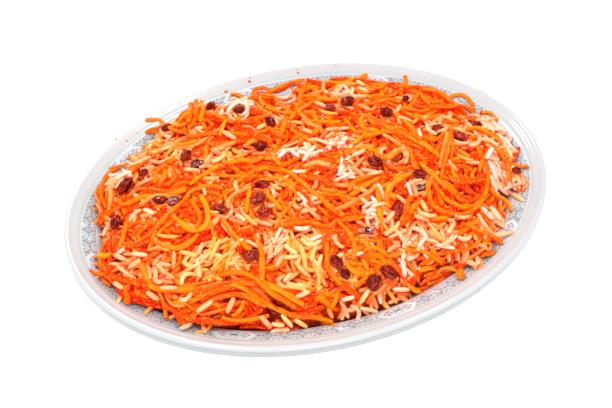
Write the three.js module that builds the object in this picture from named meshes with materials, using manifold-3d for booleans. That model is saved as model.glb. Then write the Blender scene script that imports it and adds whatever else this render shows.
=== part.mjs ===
// Oval platter heaped with rice pilaf, carrot strips and raisins.
// Millimetres, +Z up, +X along the platter. The origin is under the middle of the foot ring.
import * as THREE from 'three';
import { mergeVertices } from 'three/addons/utils/BufferGeometryUtils.js';
import Module from 'manifold-3d';

const wasm = await Module();
wasm.setup();

// Platter: a 12 inch oval of moulded melamine.
const HALF_LENGTH = 152.5;
const HALF_WIDTH = 121;
const LIP_TOP = 28;
const LIP_EDGE = 25;
const BAND_OUTER = 10.8;
const BAND_INNER = 18.7;
const BAND_OUTER_Z = 24.1;
const BAND_INNER_Z = 21.4;
const FLOOR_Z = 5;
const WALL = 3;
const FOOT_INSET = 50;
const FOOT_WIDTH = 4;
const PLATE_SIDES = 48;

// Heap: its outline lies this far inside the platter's edge, less at the far side (+Y), and
// bulges over the band at the right end.
const HEAP_INSET = 22.5;
const HEAP_FAR_BULGE = 3;
const HEAP_BULGE = 8;
const HEAP_BULGE_AT = -0.35;
const HEAP_BULGE_WIDTH = 0.75;
const HEAP_PEAK = 44;
const HEAP_EDGE_THICKNESS = 2.5;
const HEAP_SHOULDER = 4.5;
const HEAP_ROUNDING = 0.75;
const HEAP_RINGS = 20;
const HEAP_GAP = 0.9;
const PIECE_GAP = 0.7;
const EDGE_RIPPLE = 1.2;
const LONG_WAVE = { height: 1.5, lengthX: 17, lengthY: 14, shift: 1 };
const CROSS_WAVE = { height: 1, length: 23 };
const GRAIN_BUMP = 1.1;
const SMOOTH_MARGIN = 4;

// Carrot strips, cut flat and thin.
const STRIP_WIDTH = 3.4;
const STRIP_THICKNESS = 2;
const STRIP_STEP = 10.5;
const STRIP_SHORTEST = 13;
const LOOSE_STRIPS = 33;
const LOOSE_STRIP_BEND = 2.4;
const LOOSE_STRIP_SPREAD = 1.8;
const LOOSE_STRIP_REACH = 0.9;
const LOOSE_STRIP_LENGTHS = [28, 52];
const LIFT = 1.2;

// Rice grains that stand out of the heap.
const GRAIN_LENGTH = 12;
const GRAIN_WIDTH = 3;
const LOOSE_GRAINS = 8;
const GRAIN_SIDES = 4;

// Raisins, and the gap that each keeps to what it lies on.
const RAISIN_GAP = 0.4;
const RAISIN_FLATNESS = 0.78;

// The viewpoint from which the places of raisins and strips are read, as picture coordinates.
const VIEW = {
  centre: [306, 204],
  focal: 1168,
  distance: 700,
  elevation: THREE.MathUtils.degToRad(43.5),
  turn: THREE.MathUtils.degToRad(26.6),
  target: [-3.1, -15],
  highest: 50,
  step: 0.25,
};

// Raisins: picture place, length and width in millimetres, and turn in degrees from the
// picture's horizontal, anticlockwise as seen from above.
const RAISINS = [
  { at: [211, 109], length: 8, width: 6, turn: -35 },
  { at: [239, 113], length: 8.5, width: 5.5, turn: 5 },
  { at: [270, 125], length: 10.5, width: 6.5, turn: -62 },
  { at: [261, 150], length: 8.5, width: 7.5, turn: 20 },
  { at: [186, 159], length: 9.5, width: 6.5, turn: 70 },
  { at: [197, 167], length: 10, width: 6, turn: 30 },
  { at: [144, 176], length: 7, width: 5.5, turn: 40 },
  { at: [126, 190], length: 13, width: 8.5, turn: 55 },
  { at: [160, 203], length: 8.6, width: 6.6, turn: 0 },
  { at: [174, 204], length: 8.6, width: 6.2, turn: 40 },
  { at: [263, 187], length: 9.5, width: 5.5, turn: 0 },
  { at: [258, 202], length: 10.5, width: 7.5, turn: 55 },
  { at: [219, 213], length: 10.5, width: 8, turn: -10 },
  { at: [264, 216], length: 8, width: 8, turn: 35 },
  { at: [166, 131], length: 8, width: 5.5, turn: 10 },
  { at: [330, 112], length: 7.8, width: 6.8, turn: -20 },
  { at: [347, 105], length: 11, width: 8, turn: 20 },
  { at: [386, 116], length: 9, width: 7, turn: -10 },
  { at: [406, 101], length: 6, width: 4.5, turn: 80 },
  { at: [437, 133], length: 8.5, width: 7, turn: 60 },
  { at: [459, 140], length: 10, width: 7, turn: -10 },
  { at: [475, 128], length: 8, width: 6, turn: 0 },
  { at: [375, 166], length: 10, width: 8, turn: -20 },
  { at: [419, 178], length: 8, width: 7, turn: -30 },
  { at: [420, 191], length: 7, width: 5.5, turn: 20 },
  { at: [398, 213], length: 10, width: 6.5, turn: 60 },
  { at: [516, 174], length: 7, width: 5, turn: 10 },
  { at: [397, 160], length: 7.5, width: 6.5, turn: 60 },
  { at: [116, 226], length: 9, width: 7, turn: 75 },
  { at: [251, 259], length: 9.5, width: 8, turn: 60 },
  { at: [278, 318], length: 12, width: 8, turn: -15 },
  { at: [336, 266], length: 9.5, width: 7.5, turn: -45 },
  { at: [345, 278], length: 7.5, width: 5.5, turn: -55 },
  { at: [373, 288], length: 10, width: 8, turn: 65 },
  { at: [389, 277], length: 11, width: 7.5, turn: -35 },
  { at: [368, 234], length: 7, width: 5, turn: -15 },
];

// The strips that make the outline and the large loops, by picture places along each.
const MAIN_STRIPS = {
  far_loop: [[256, 99], [254, 90], [262, 87], [275, 98], [287, 109]],
  far_rim: [[270, 91], [286, 84], [305, 79], [301, 96]],
  far_left: [[231, 95], [248, 99], [262, 112]],
  far_crest: [[330, 81], [350, 79], [367, 75]],
  far_curl: [[405, 76], [406, 83], [400, 92]],
  far_right_edge: [[419, 89], [440, 93], [455, 107]],
  right_loop: [[450, 97], [460, 95], [471, 102], [473, 113]],
  right_ridge: [[430, 107], [455, 106], [476, 113]],
  right_ring: [[483, 113], [492, 113], [498, 121]],
  right_arc: [[466, 130], [482, 129], [502, 146]],
  right_fall: [[485, 143], [502, 153], [510, 180]],
  right_end: [[519, 147], [512, 162], [527, 168]],
  big_loop: [[487, 168], [485, 192], [466, 210], [438, 209], [429, 187]],
  long_right: [[421, 163], [440, 181], [457, 197]],
  low_right: [[484, 193], [495, 207], [506, 217]],
  low_end: [[463, 225], [485, 233], [503, 243]],
  front_right: [[389, 257], [412, 251], [442, 263]],
  front_tip: [[407, 262], [409, 282], [421, 291]],
  front_loop: [[371, 277], [379, 264], [394, 263], [406, 280]],
  front_sweep: [[180, 292], [225, 275], [255, 279], [296, 308], [332, 323]],
  front_under: [[195, 312], [232, 292], [268, 308]],
  front_edge: [[184, 316], [215, 322], [262, 312]],
  front_top: [[246, 274], [280, 291], [303, 304]],
  left_edge: [[119, 168], [104, 182], [102, 200]],
  left_foot: [[113, 229], [109, 250], [111, 272]],
  left_base: [[101, 266], [124, 280], [144, 288]],
  left_tip: [[95, 256], [111, 255], [124, 240]],
  hanging: [[158, 290], [165, 305], [166, 319]],
  loop_outer: [[170, 214], [192, 192], [220, 187]],
  loop_inner: [[201, 196], [208, 215], [194, 230], [172, 215]],
  loop_low: [[157, 242], [178, 248], [203, 231]],
  middle_rise: [[240, 160], [272, 155], [300, 140]],
  middle_hook: [[258, 181], [285, 178], [297, 195], [278, 222]],
  middle_long: [[258, 172], [290, 172], [318, 195], [343, 217]],
  middle_arc: [[366, 138], [392, 131], [422, 143], [439, 158]],
  yellow_hook: [[401, 150], [380, 157], [386, 146]],
  yellow_arc: [[414, 173], [391, 186], [388, 208]],
  middle_fall: [[377, 189], [381, 212], [383, 232]],
  middle_bend: [[337, 219], [354, 240], [353, 258]],
  middle_cross: [[376, 187], [350, 203], [337, 211]],
};

// Rice grains that reach past the heap's edge, by the picture places of their two ends.
const EDGE_GRAINS = {
  right_end: [[493, 233], [515, 230]],
  right_top: [[507, 142], [523, 143]],
  right_low: [[512, 190], [524, 200]],
  front_right: [[466, 261], [478, 266]],
  front_low: [[358, 309], [377, 310]],
  front_high: [[386, 303], [404, 297]],
  left_top: [[128, 165], [110, 168]],
  left_high: [[150, 152], [128, 159]],
  left_far: [[165, 147], [144, 148]],
  left_side: [[103, 184], [97, 195]],
  left_low: [[108, 251], [100, 242]],
};

// The loose pieces on the platter's band, by the picture places of their two ends.
const BAND_CARROT = [[458, 273], [462, 281]];
const BAND_GRAIN = [[181, 332], [193, 326]];
const BAND_CARROT_WIDTH = 4.6;
const BAND_CARROT_THICKNESS = 2.6;

const COLOURS = {
  plate: new THREE.Color(0.9, 0.9, 0.9),
  pulao: new THREE.Color(0.95, 0.42, 0.06),
  carrot: new THREE.Color(0.95, 0.22, 0.02),
  rice: new THREE.Color(0.95, 0.75, 0.45),
  raisin: new THREE.Color(0.12, 0.02, 0.01),
};

function random(seed) {
  let state = seed;
  return () => {
    state = (state * 1664525 + 1013904223) % 4294967296;
    return state / 4294967296;
  };
}

// The point on the platter's oval at angle t, moved inwards by an inset.
function ovalPoint(t, inset) {
  const across = new THREE.Vector2(HALF_WIDTH * Math.cos(t), HALF_LENGTH * Math.sin(t)).normalize();
  const x = HALF_LENGTH * Math.cos(t) - inset * across.x;
  const y = HALF_WIDTH * Math.sin(t) - inset * across.y;
  return [x, y];
}

// How far a place lies inside the oval's edge, by closing in on the nearest edge point.
function insetAt(x, y) {
  const squares = HALF_LENGTH ** 2 - HALF_WIDTH ** 2;
  const px = Math.abs(x);
  const py = Math.abs(y);
  let cos = Math.SQRT1_2;
  let sin = Math.SQRT1_2;
  for (let i = 0; i < 5; i++) {
    const centreX = (squares * cos ** 3) / HALF_LENGTH;
    const centreY = (-squares * sin ** 3) / HALF_WIDTH;
    const reach = Math.hypot(HALF_LENGTH * cos - centreX, HALF_WIDTH * sin - centreY);
    const away = Math.hypot(px - centreX, py - centreY);
    const nearX = ((px - centreX) * reach / away + centreX) / HALF_LENGTH;
    const nearY = ((py - centreY) * reach / away + centreY) / HALF_WIDTH;
    cos = Math.min(1, Math.max(0, nearX));
    sin = Math.min(1, Math.max(0, nearY));
    const size = Math.hypot(cos, sin);
    cos /= size;
    sin /= size;
  }
  const distance = Math.hypot(px - HALF_LENGTH * cos, py - HALF_WIDTH * sin);
  const inside = (x / HALF_LENGTH) ** 2 + (y / HALF_WIDTH) ** 2 < 1;
  return inside ? distance : -distance;
}

// The platter's upper side, from the lip's top inwards, as [inset, height].
const PLATE_TOP = [
  [2.6, LIP_TOP],
  [6.2, LIP_TOP - 1.7],
  [BAND_OUTER, BAND_OUTER_Z],
  [BAND_INNER, BAND_INNER_Z],
  [24, 16],
  [31, 9],
  [39, 6],
  [49, FLOOR_Z],
];

// The rest of its section: the floor's middle to the foot ring, the underside and the lip.
const PLATE_UNDER = [
  [FOOT_INSET + FOOT_WIDTH + 1, FLOOR_Z - WALL],
  [FOOT_INSET + FOOT_WIDTH, 0],
  [FOOT_INSET, 0],
  [FOOT_INSET - 2, FLOOR_Z - WALL],
  [37, 3],
  [28.5, 6.5],
  [17, 18.3],
  [1.5, 21.8],
];

function plateTop(x, y) {
  const inset = insetAt(x, y);
  if (inset <= PLATE_TOP[0][0]) {
    const rounded = Math.max(0, PLATE_TOP[0][0] - inset) / PLATE_TOP[0][0];
    return LIP_TOP - (LIP_TOP - LIP_EDGE) * Math.min(1, rounded ** 2);
  }
  for (let i = 1; i < PLATE_TOP.length; i++) {
    const [from, fromZ] = PLATE_TOP[i - 1];
    const [to, toZ] = PLATE_TOP[i];
    if (inset <= to) return fromZ + (toZ - fromZ) * (inset - from) / (to - from);
  }
  return FLOOR_Z;
}

// A mesh of rings: each ring is a list of points, neighbours are stitched, ends are closed.
function closedRings(rings) {
  const positions = [];
  const starts = [];
  for (const ring of rings) {
    starts.push(positions.length / 3);
    for (const point of ring) positions.push(...point);
  }
  const indices = [];
  for (let k = 0; k + 1 < rings.length; k++) {
    stitch(indices, starts[k], rings[k].length, starts[k + 1], rings[k + 1].length);
  }
  const geometry = new THREE.BufferGeometry();
  geometry.setAttribute('position', new THREE.Float32BufferAttribute(positions, 3));
  geometry.setIndex(indices);
  return geometry;
}

// Triangles between two rings that may have different counts of points.
function stitch(indices, first, firstCount, second, secondCount) {
  let a = 0;
  let b = 0;
  while (a < firstCount || b < secondCount) {
    const nextA = firstCount > 1 ? (a + 1) / firstCount : Infinity;
    const nextB = secondCount > 1 ? (b + 1) / secondCount : Infinity;
    const pointA = first + a % firstCount;
    const pointB = second + b % secondCount;
    const takeA = b >= secondCount || secondCount === 1 || (a < firstCount && nextA <= nextB);
    if (takeA && firstCount > 1) {
      indices.push(pointA, pointB, first + (a + 1) % firstCount);
      a++;
      if (secondCount === 1 && a >= firstCount) break;
    } else {
      indices.push(pointA, pointB, second + (b + 1) % secondCount);
      b++;
      if (firstCount === 1 && b >= secondCount) break;
    }
  }
}

function plateGeometry() {
  const section = [...PLATE_TOP.slice().reverse(), [0.6, LIP_TOP - 1.1], [0, LIP_EDGE]];
  section.push(...PLATE_UNDER.slice().reverse());
  const rings = [[[0, 0, FLOOR_Z]]];
  for (const [inset, z] of section) rings.push(ovalRing(inset, z));
  rings.push([[0, 0, FLOOR_Z - WALL]]);
  return closedRings(rings);
}

function ovalRing(inset, z) {
  const ring = [];
  for (let i = 0; i < PLATE_SIDES; i++) {
    ring.push([...ovalPoint((2 * Math.PI * i) / PLATE_SIDES, inset), z]);
  }
  return ring;
}

// How far inside the platter's edge the heap ends, at angle t.
function heapInset(t) {
  const turn = Math.atan2(Math.sin(t - HEAP_BULGE_AT), Math.cos(t - HEAP_BULGE_AT));
  const bulge = HEAP_BULGE * Math.exp(-((turn / HEAP_BULGE_WIDTH) ** 2));
  const far = HEAP_FAR_BULGE * Math.max(0, Math.sin(t));
  return HEAP_INSET - bulge - far + EDGE_RIPPLE * (Math.sin(5 * t + 1) + 0.6 * Math.sin(11 * t));
}

function heapEdge(t) {
  const inset = heapInset(t);
  return [(HALF_LENGTH - inset) * Math.cos(t), (HALF_WIDTH - inset) * Math.sin(t)];
}

// The heap's own coordinates of a place: the edge angle, and 0 in the middle to 1 at the edge.
function heapPlace(x, y) {
  let t = Math.atan2(y / HALF_WIDTH, x / HALF_LENGTH);
  for (let i = 0; i < 3; i++) {
    const inset = heapInset(t);
    t = Math.atan2(y / (HALF_WIDTH - inset), x / (HALF_LENGTH - inset));
  }
  const [edgeX, edgeY] = heapEdge(t);
  return { t, reach: Math.hypot(x, y) / Math.hypot(edgeX, edgeY) };
}

// The heap's smooth surface, which falls to a thin edge on the platter.
function heapTop(x, y) {
  const { t, reach } = heapPlace(x, y);
  const [edgeX, edgeY] = heapEdge(t);
  const edgeZ = plateTop(edgeX, edgeY) + HEAP_GAP + HEAP_EDGE_THICKNESS;
  const within = Math.min(1, reach);
  const dome = (1 - within ** HEAP_SHOULDER) ** HEAP_ROUNDING;
  const waves = LONG_WAVE.height * Math.sin(x / LONG_WAVE.lengthX + LONG_WAVE.shift)
    * Math.sin(y / LONG_WAVE.lengthY) + CROSS_WAVE.height * Math.sin((x + y) / CROSS_WAVE.length);
  return edgeZ + (HEAP_PEAK - edgeZ) * dome + waves * (1 - within ** 2);
}

function surface(x, y) {
  const onPlate = plateTop(x, y);
  return heapPlace(x, y).reach < 1 ? Math.max(heapTop(x, y), onPlate) : onPlate;
}

function surfaceNormal(x, y) {
  const step = 1.5;
  const slopeX = (surface(x + step, y) - surface(x - step, y)) / (2 * step);
  const slopeY = (surface(x, y + step) - surface(x, y - step)) / (2 * step);
  return new THREE.Vector3(-slopeX, -slopeY, 1).normalize();
}

// The place on the heap or platter that a picture place shows.
function placeSeen([u, v]) {
  const right = (u - VIEW.centre[0]) / VIEW.focal;
  const up = (VIEW.centre[1] - v) / VIEW.focal;
  const sin = Math.sin(VIEW.elevation);
  const cos = Math.cos(VIEW.elevation);
  let place = [0, 0];
  for (let z = VIEW.highest; z > 0; z -= VIEW.step) {
    const drop = z - LIP_TOP;
    const away = (up * (VIEW.distance - drop * sin) - drop * cos) / (sin - up * cos);
    const aside = right * (VIEW.distance + away * cos - drop * sin) + VIEW.target[0];
    const ahead = away + VIEW.target[1];
    place = [
      aside * Math.cos(VIEW.turn) + ahead * Math.sin(VIEW.turn),
      ahead * Math.cos(VIEW.turn) - aside * Math.sin(VIEW.turn),
    ];
    if (surface(...place) >= z) break;
  }
  return place;
}

// The bare heap: a rough top, and an underside that follows the platter's well.
function heapCore() {
  const draw = random(7);
  const rings = [];
  for (let k = 0; k <= HEAP_RINGS; k++) {
    const reach = k / HEAP_RINGS;
    const count = Math.max(1, 6 * k);
    const ring = [];
    for (let i = 0; i < count; i++) {
      const [edgeX, edgeY] = heapEdge((2 * Math.PI * i) / count);
      const x = reach * edgeX;
      const y = reach * edgeY;
      const rough = k < HEAP_RINGS && !nearRaisin(x, y, SMOOTH_MARGIN);
      const bump = rough ? GRAIN_BUMP * (2 * draw() - 1) : 0;
      ring.push([x, y, heapTop(x, y) + bump]);
    }
    rings.push(ring);
  }
  const floorInsets = [0, ...PLATE_TOP.slice(3).map(([inset]) => inset)];
  const spacing = 1.2;
  floorInsets.forEach((base, k) => {
    const ring = [];
    for (let i = 0; i < PLATE_SIDES; i++) {
      const t = (2 * Math.PI * i) / PLATE_SIDES;
      const inset = Math.max(base, heapInset(t) + spacing * k);
      const [x, y] = k === 0 ? heapEdge(t) : ovalPoint(t, inset);
      ring.push([x, y, plateTop(x, y) + HEAP_GAP]);
    }
    rings.push(ring);
  });
  rings.push([[0, 0, FLOOR_Z + HEAP_GAP]]);
  return closedRings(rings);
}

const RAISIN_PLACES = RAISINS.map(({ at, turn }) => ({
  place: placeSeen(at),
  heading: THREE.MathUtils.degToRad(turn) - VIEW.turn,
}));

// Whether a place in plan lies on a raisin or within a margin of it.
function nearRaisin(x, y, margin) {
  return RAISIN_PLACES.some(({ place, heading }, index) => {
    const dx = x - place[0];
    const dy = y - place[1];
    const halfLength = RAISINS[index].length / 2 + margin;
    const halfWidth = RAISINS[index].width / 2 + margin;
    const along = (dx * Math.cos(heading) + dy * Math.sin(heading)) / halfLength;
    const across = (dy * Math.cos(heading) - dx * Math.sin(heading)) / halfWidth;
    return along ** 2 + across ** 2 < 1;
  });
}

// Directions on the surface at a place: along a heading, across it and outwards.
function surfaceFrame(x, y, heading) {
  const out = surfaceNormal(x, y);
  const along = new THREE.Vector3(Math.cos(heading), Math.sin(heading), 0);
  along.addScaledVector(out, -along.dot(out)).normalize();
  const across = new THREE.Vector3().crossVectors(out, along);
  return { along, across, out };
}

// A raisin: a lumpy ellipsoid that lies along the surface, just clear of it.
function raisinGeometry(index) {
  const { length, width } = RAISINS[index];
  const { place, heading } = RAISIN_PLACES[index];
  const { along, across, out } = surfaceFrame(...place, heading);
  const draw = random(100 + index);
  const sphere = new THREE.SphereGeometry(0.5, 7, 4);
  sphere.deleteAttribute('normal');
  sphere.deleteAttribute('uv');
  const body = mergeVertices(sphere, 0.001);
  const points = body.getAttribute('position');
  const point = new THREE.Vector3();
  let clearance = Infinity;
  for (let i = 0; i < points.count; i++) {
    const lump = 0.92 + 0.16 * draw();
    point.set(...place, surface(...place));
    point.addScaledVector(along, lump * length * points.getX(i));
    point.addScaledVector(across, -lump * width * points.getZ(i));
    point.addScaledVector(out, lump * width * RAISIN_FLATNESS * points.getY(i));
    points.setXYZ(i, ...point);
    clearance = Math.min(clearance, point.z - surface(point.x, point.y));
  }
  return body.translate(0, 0, RAISIN_GAP - clearance);
}

// The least height at which something of a given half width is clear of the platter.
function clearOfPlate(x, y, half) {
  const around = [[0, 0], [half, 0], [-half, 0], [0, half], [0, -half]];
  return PIECE_GAP + Math.max(...around.map(([dx, dy]) => plateTop(x + dx, y + dy)));
}

// The longest stretch of a path that stays clear of the raisins.
function clearStretch(path, margin) {
  let best = [];
  let run = [];
  for (const point of path) {
    if (nearRaisin(point.x, point.y, margin)) run = [];
    else run.push(point);
    if (run.length > best.length) best = run;
  }
  return best;
}

// A flat strip laid on the heap along a path in plan, bedded into what is under it.
function stripGeometry(path, width, thickness) {
  const curve = new THREE.CatmullRomCurve3(path);
  const fine = clearStretch(curve.getSpacedPoints(60), width / 2 + 2 * RAISIN_GAP);
  if (fine.length < 2) return null;
  const clear = new THREE.CatmullRomCurve3(fine);
  const length = clear.getLength();
  if (length < STRIP_SHORTEST) return null;
  const steps = Math.max(3, Math.round(length / STRIP_STEP));
  const points = clear.getSpacedPoints(steps);
  const heights = points.map((point) => surface(point.x, point.y));
  const rings = [];
  points.forEach((point, k) => {
    const before = points[Math.max(0, k - 1)];
    const after = points[Math.min(steps, k + 1)];
    const level = (heights[Math.max(0, k - 1)] + heights[k] + heights[Math.min(steps, k + 1)]) / 3;
    const lowest = clearOfPlate(point.x, point.y, width / 2) + thickness / 2;
    const centre = new THREE.Vector3(point.x, point.y, Math.max(level + LIFT, lowest));
    const along = new THREE.Vector3().subVectors(after, before).setZ(0).normalize();
    const side = new THREE.Vector3().crossVectors(along, surfaceNormal(point.x, point.y)).normalize();
    const out = new THREE.Vector3().crossVectors(side, along).normalize();
    const taper = k === 0 || k === steps ? 0.6 : 1;
    const corners = [[-1, -1], [1, -1], [1, 1], [-1, 1]];
    rings.push(corners.map(([across, up]) => centre.clone()
      .addScaledVector(side, across * taper * width / 2)
      .addScaledVector(out, up * taper * thickness / 2)
      .toArray()));
  });
  return closedBar(rings);
}

// A bar of equal rings with flat ends.
function closedBar(rings) {
  const sides = rings[0].length;
  const positions = rings.flat(2);
  const indices = [];
  for (let k = 0; k + 1 < rings.length; k++) {
    stitch(indices, k * sides, sides, (k + 1) * sides, sides);
  }
  const last = (rings.length - 1) * sides;
  for (let i = 1; i + 1 < sides; i++) {
    indices.push(0, i, i + 1);
    indices.push(last, last + i + 1, last + i);
  }
  const geometry = new THREE.BufferGeometry();
  geometry.setAttribute('position', new THREE.Float32BufferAttribute(positions, 3));
  geometry.setIndex(indices);
  return geometry;
}

function flatPoint([x, y]) {
  return new THREE.Vector3(x, y, 0);
}

// Further strips, spread evenly over the heap, each with its own heading and bend.
function loosePath(index, draw) {
  const reach = LOOSE_STRIP_REACH * Math.sqrt((index + 0.5) / LOOSE_STRIPS);
  const t = index * Math.PI * (3 - Math.sqrt(5));
  const [edgeX, edgeY] = heapEdge(t);
  const length = THREE.MathUtils.lerp(...LOOSE_STRIP_LENGTHS, draw());
  const bend = (draw() - 0.5) * LOOSE_STRIP_BEND;
  let heading = t + Math.PI / 2 + (draw() - 0.5) * LOOSE_STRIP_SPREAD;
  let x = reach * edgeX;
  let y = reach * edgeY;
  const path = [];
  for (let k = 0; k < 5; k++) {
    if (heapPlace(x, y).reach < 0.98) path.push(new THREE.Vector3(x, y, 0));
    x += (length / 4) * Math.cos(heading);
    y += (length / 4) * Math.sin(heading);
    heading += bend / 4;
  }
  return path;
}

// Where the middle line of a piece of a given thickness runs: bedded into the heap by a
// quarter of its thickness, and clear of the platter.
function beddedPoint([x, y], thickness) {
  const onHeap = surface(x, y) + thickness / 4;
  const onPlate = clearOfPlate(x, y, thickness / 2) + thickness / 2;
  return new THREE.Vector3(x, y, Math.max(onHeap, onPlate));
}

// A rice grain: a spindle that lies on the surface between two places.
function grainGeometry(from, to, width) {
  const start = beddedPoint(from, width);
  const end = beddedPoint(to, width);
  const centre = start.clone().lerp(end, 0.5);
  centre.z = Math.max(centre.z, beddedPoint([centre.x, centre.y], width).z);
  const along = end.clone().sub(start);
  const across = new THREE.Vector3(-along.y, along.x, 0).normalize();
  const out = new THREE.Vector3().crossVectors(along, across).normalize();
  const stations = [[-0.5, 0.35], [-0.2, 1], [0.2, 1], [0.5, 0.35]];
  const rings = stations.map(([station, swell]) => {
    const ring = [];
    for (let i = 0; i < GRAIN_SIDES; i++) {
      const angle = (-2 * Math.PI * i) / GRAIN_SIDES;
      ring.push(centre.clone()
        .addScaledVector(along, station)
        .addScaledVector(across, Math.cos(angle) * swell * width / 2)
        .addScaledVector(out, Math.sin(angle) * swell * width / 2)
        .toArray());
    }
    return ring;
  });
  return closedBar(rings);
}

function bandCarrotGeometry() {
  const [from, to] = BAND_CARROT.map(placeSeen);
  const heading = Math.atan2(to[1] - from[1], to[0] - from[0]);
  const middle = [(from[0] + to[0]) / 2, (from[1] + to[1]) / 2];
  const { along, across, out } = surfaceFrame(...middle, heading);
  const length = Math.hypot(to[0] - from[0], to[1] - from[1]);
  const block = new THREE.BoxGeometry(length, BAND_CARROT_WIDTH, BAND_CARROT_THICKNESS);
  const height = clearOfPlate(...middle, 1) + BAND_CARROT_THICKNESS / 2;
  const basis = new THREE.Matrix4().makeBasis(along, across, out);
  return block.applyMatrix4(basis.setPosition(...middle, height));
}

function bandGrainGeometry() {
  const [from, to] = BAND_GRAIN.map(placeSeen);
  return grainGeometry(from, to, GRAIN_WIDTH);
}

// Solids for joining and cutting.
function solid(geometry) {
  const mesh = new wasm.Mesh({
    numProp: 3,
    vertProperties: new Float32Array(geometry.getAttribute('position').array),
    triVerts: new Uint32Array(geometry.getIndex().array),
  });
  return new wasm.Manifold(mesh);
}

// The outer shell of a solid: sealed hollows and scraps are left out.
function outerShell(manifold) {
  const mesh = manifold.getMesh();
  const owner = Array.from({ length: mesh.numVert }, (_, i) => i);
  const find = (i) => {
    while (owner[i] !== i) {
      owner[i] = owner[owner[i]];
      i = owner[i];
    }
    return i;
  };
  for (let k = 0; k < mesh.triVerts.length; k += 3) {
    const root = find(mesh.triVerts[k]);
    owner[find(mesh.triVerts[k + 1])] = root;
    owner[find(mesh.triVerts[k + 2])] = root;
  }
  const counts = new Map();
  for (const vertex of mesh.triVerts) counts.set(find(vertex), (counts.get(find(vertex)) || 0) + 1);
  const largest = [...counts.entries()].sort((a, b) => b[1] - a[1])[0][0];
  const indices = [];
  for (let k = 0; k < mesh.triVerts.length; k += 3) {
    if (find(mesh.triVerts[k]) === largest) indices.push(...mesh.triVerts.slice(k, k + 3));
  }
  const positions = [];
  for (let i = 0; i < mesh.numVert; i++) {
    positions.push(...mesh.vertProperties.slice(i * mesh.numProp, i * mesh.numProp + 3));
  }
  const geometry = new THREE.BufferGeometry();
  geometry.setAttribute('position', new THREE.Float32BufferAttribute(positions, 3));
  geometry.setIndex(indices);
  return geometry.toNonIndexed();
}

function heapGeometry() {
  let heap = solid(heapCore());
  const pieces = [];
  for (const places of Object.values(MAIN_STRIPS)) {
    const path = places.map((place) => flatPoint(placeSeen(place)));
    pieces.push(stripGeometry(path, STRIP_WIDTH, STRIP_THICKNESS));
  }
  const draw = random(11);
  for (let i = 0; i < LOOSE_STRIPS; i++) {
    const path = loosePath(i, draw);
    if (path.length < 3) continue;
    const width = STRIP_WIDTH * (0.85 + 0.3 * draw());
    pieces.push(stripGeometry(path, width, STRIP_THICKNESS));
  }
  for (const [from, to] of Object.values(EDGE_GRAINS)) {
    pieces.push(grainGeometry(placeSeen(from), placeSeen(to), GRAIN_WIDTH));
  }
  for (let i = 0; i < LOOSE_GRAINS; i++) {
    const [edgeX, edgeY] = heapEdge(i * 2.1 + draw());
    const reach = 0.35 + 0.5 * draw();
    const from = [reach * edgeX, reach * edgeY];
    const heading = draw() * Math.PI;
    const to = [
      from[0] + GRAIN_LENGTH * Math.cos(heading),
      from[1] + GRAIN_LENGTH * Math.sin(heading),
    ];
    if (nearRaisin(...from, GRAIN_LENGTH) || nearRaisin(...to, GRAIN_LENGTH)) continue;
    pieces.push(grainGeometry(from, to, GRAIN_WIDTH));
  }
  for (const piece of pieces.filter(Boolean)) heap = heap.add(solid(piece));
  return outerShell(heap);
}

function named(name, geometry, color, roughness) {
  const material = new THREE.MeshStandardMaterial({ color, roughness, metalness: 0 });
  const mesh = new THREE.Mesh(geometry, material);
  mesh.name = name;
  return mesh;
}

const dish = new THREE.Group();
dish.add(named('plate', plateGeometry(), COLOURS.plate, 0.25));
dish.add(named('pulao_heap', heapGeometry(), COLOURS.pulao, 0.55));
RAISINS.forEach((_, index) => {
  const name = `raisin_${String(index + 1).padStart(2, '0')}`;
  dish.add(named(name, raisinGeometry(index), COLOURS.raisin, 0.5));
});
dish.add(named('band_carrot', bandCarrotGeometry(), COLOURS.carrot, 0.5));
dish.add(named('band_grain', bandGrainGeometry(), COLOURS.rice, 0.5));

export default dish;
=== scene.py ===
"""Looks of a plate of kabuli pulao: rice, carrot strips and raisins heaped on an oval platter.

Metres, +Z up, +X along the platter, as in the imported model. Rice and strips are laid one by one on
a field of heights, so that each rests on what is under it. The pieces that stand out in the picture
are laid by their picture places, and the rest by seeded draws.
"""

import math

import bmesh
import bpy
import numpy as np
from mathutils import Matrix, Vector, noise


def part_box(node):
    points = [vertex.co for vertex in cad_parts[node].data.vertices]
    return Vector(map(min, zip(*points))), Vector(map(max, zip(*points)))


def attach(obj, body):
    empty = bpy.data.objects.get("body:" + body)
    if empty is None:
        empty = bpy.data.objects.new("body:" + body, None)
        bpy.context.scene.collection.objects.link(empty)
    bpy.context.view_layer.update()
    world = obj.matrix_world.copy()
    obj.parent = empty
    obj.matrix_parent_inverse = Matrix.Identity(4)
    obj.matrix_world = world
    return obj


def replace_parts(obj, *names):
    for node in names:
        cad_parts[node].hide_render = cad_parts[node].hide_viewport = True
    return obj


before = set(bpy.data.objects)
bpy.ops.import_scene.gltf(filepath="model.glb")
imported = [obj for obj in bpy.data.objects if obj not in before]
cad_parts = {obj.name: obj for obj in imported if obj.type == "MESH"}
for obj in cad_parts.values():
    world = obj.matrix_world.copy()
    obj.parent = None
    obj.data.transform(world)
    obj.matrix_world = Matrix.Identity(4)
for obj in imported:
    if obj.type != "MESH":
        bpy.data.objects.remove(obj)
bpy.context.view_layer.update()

# Sizes, as in the solid model.
HALF_LENGTH, HALF_WIDTH, LIP_TOP = (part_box("plate")[1][i] for i in range(3))
LIP_EDGE = LIP_TOP - 0.003
LIP_ROUND = 0.0026
BAND_OUTER, BAND_INNER = 0.0108, 0.0187
FLOOR_Z, WALL = 0.005, 0.003
FOOT_INSET, FOOT_WIDTH = 0.05, 0.004
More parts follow.
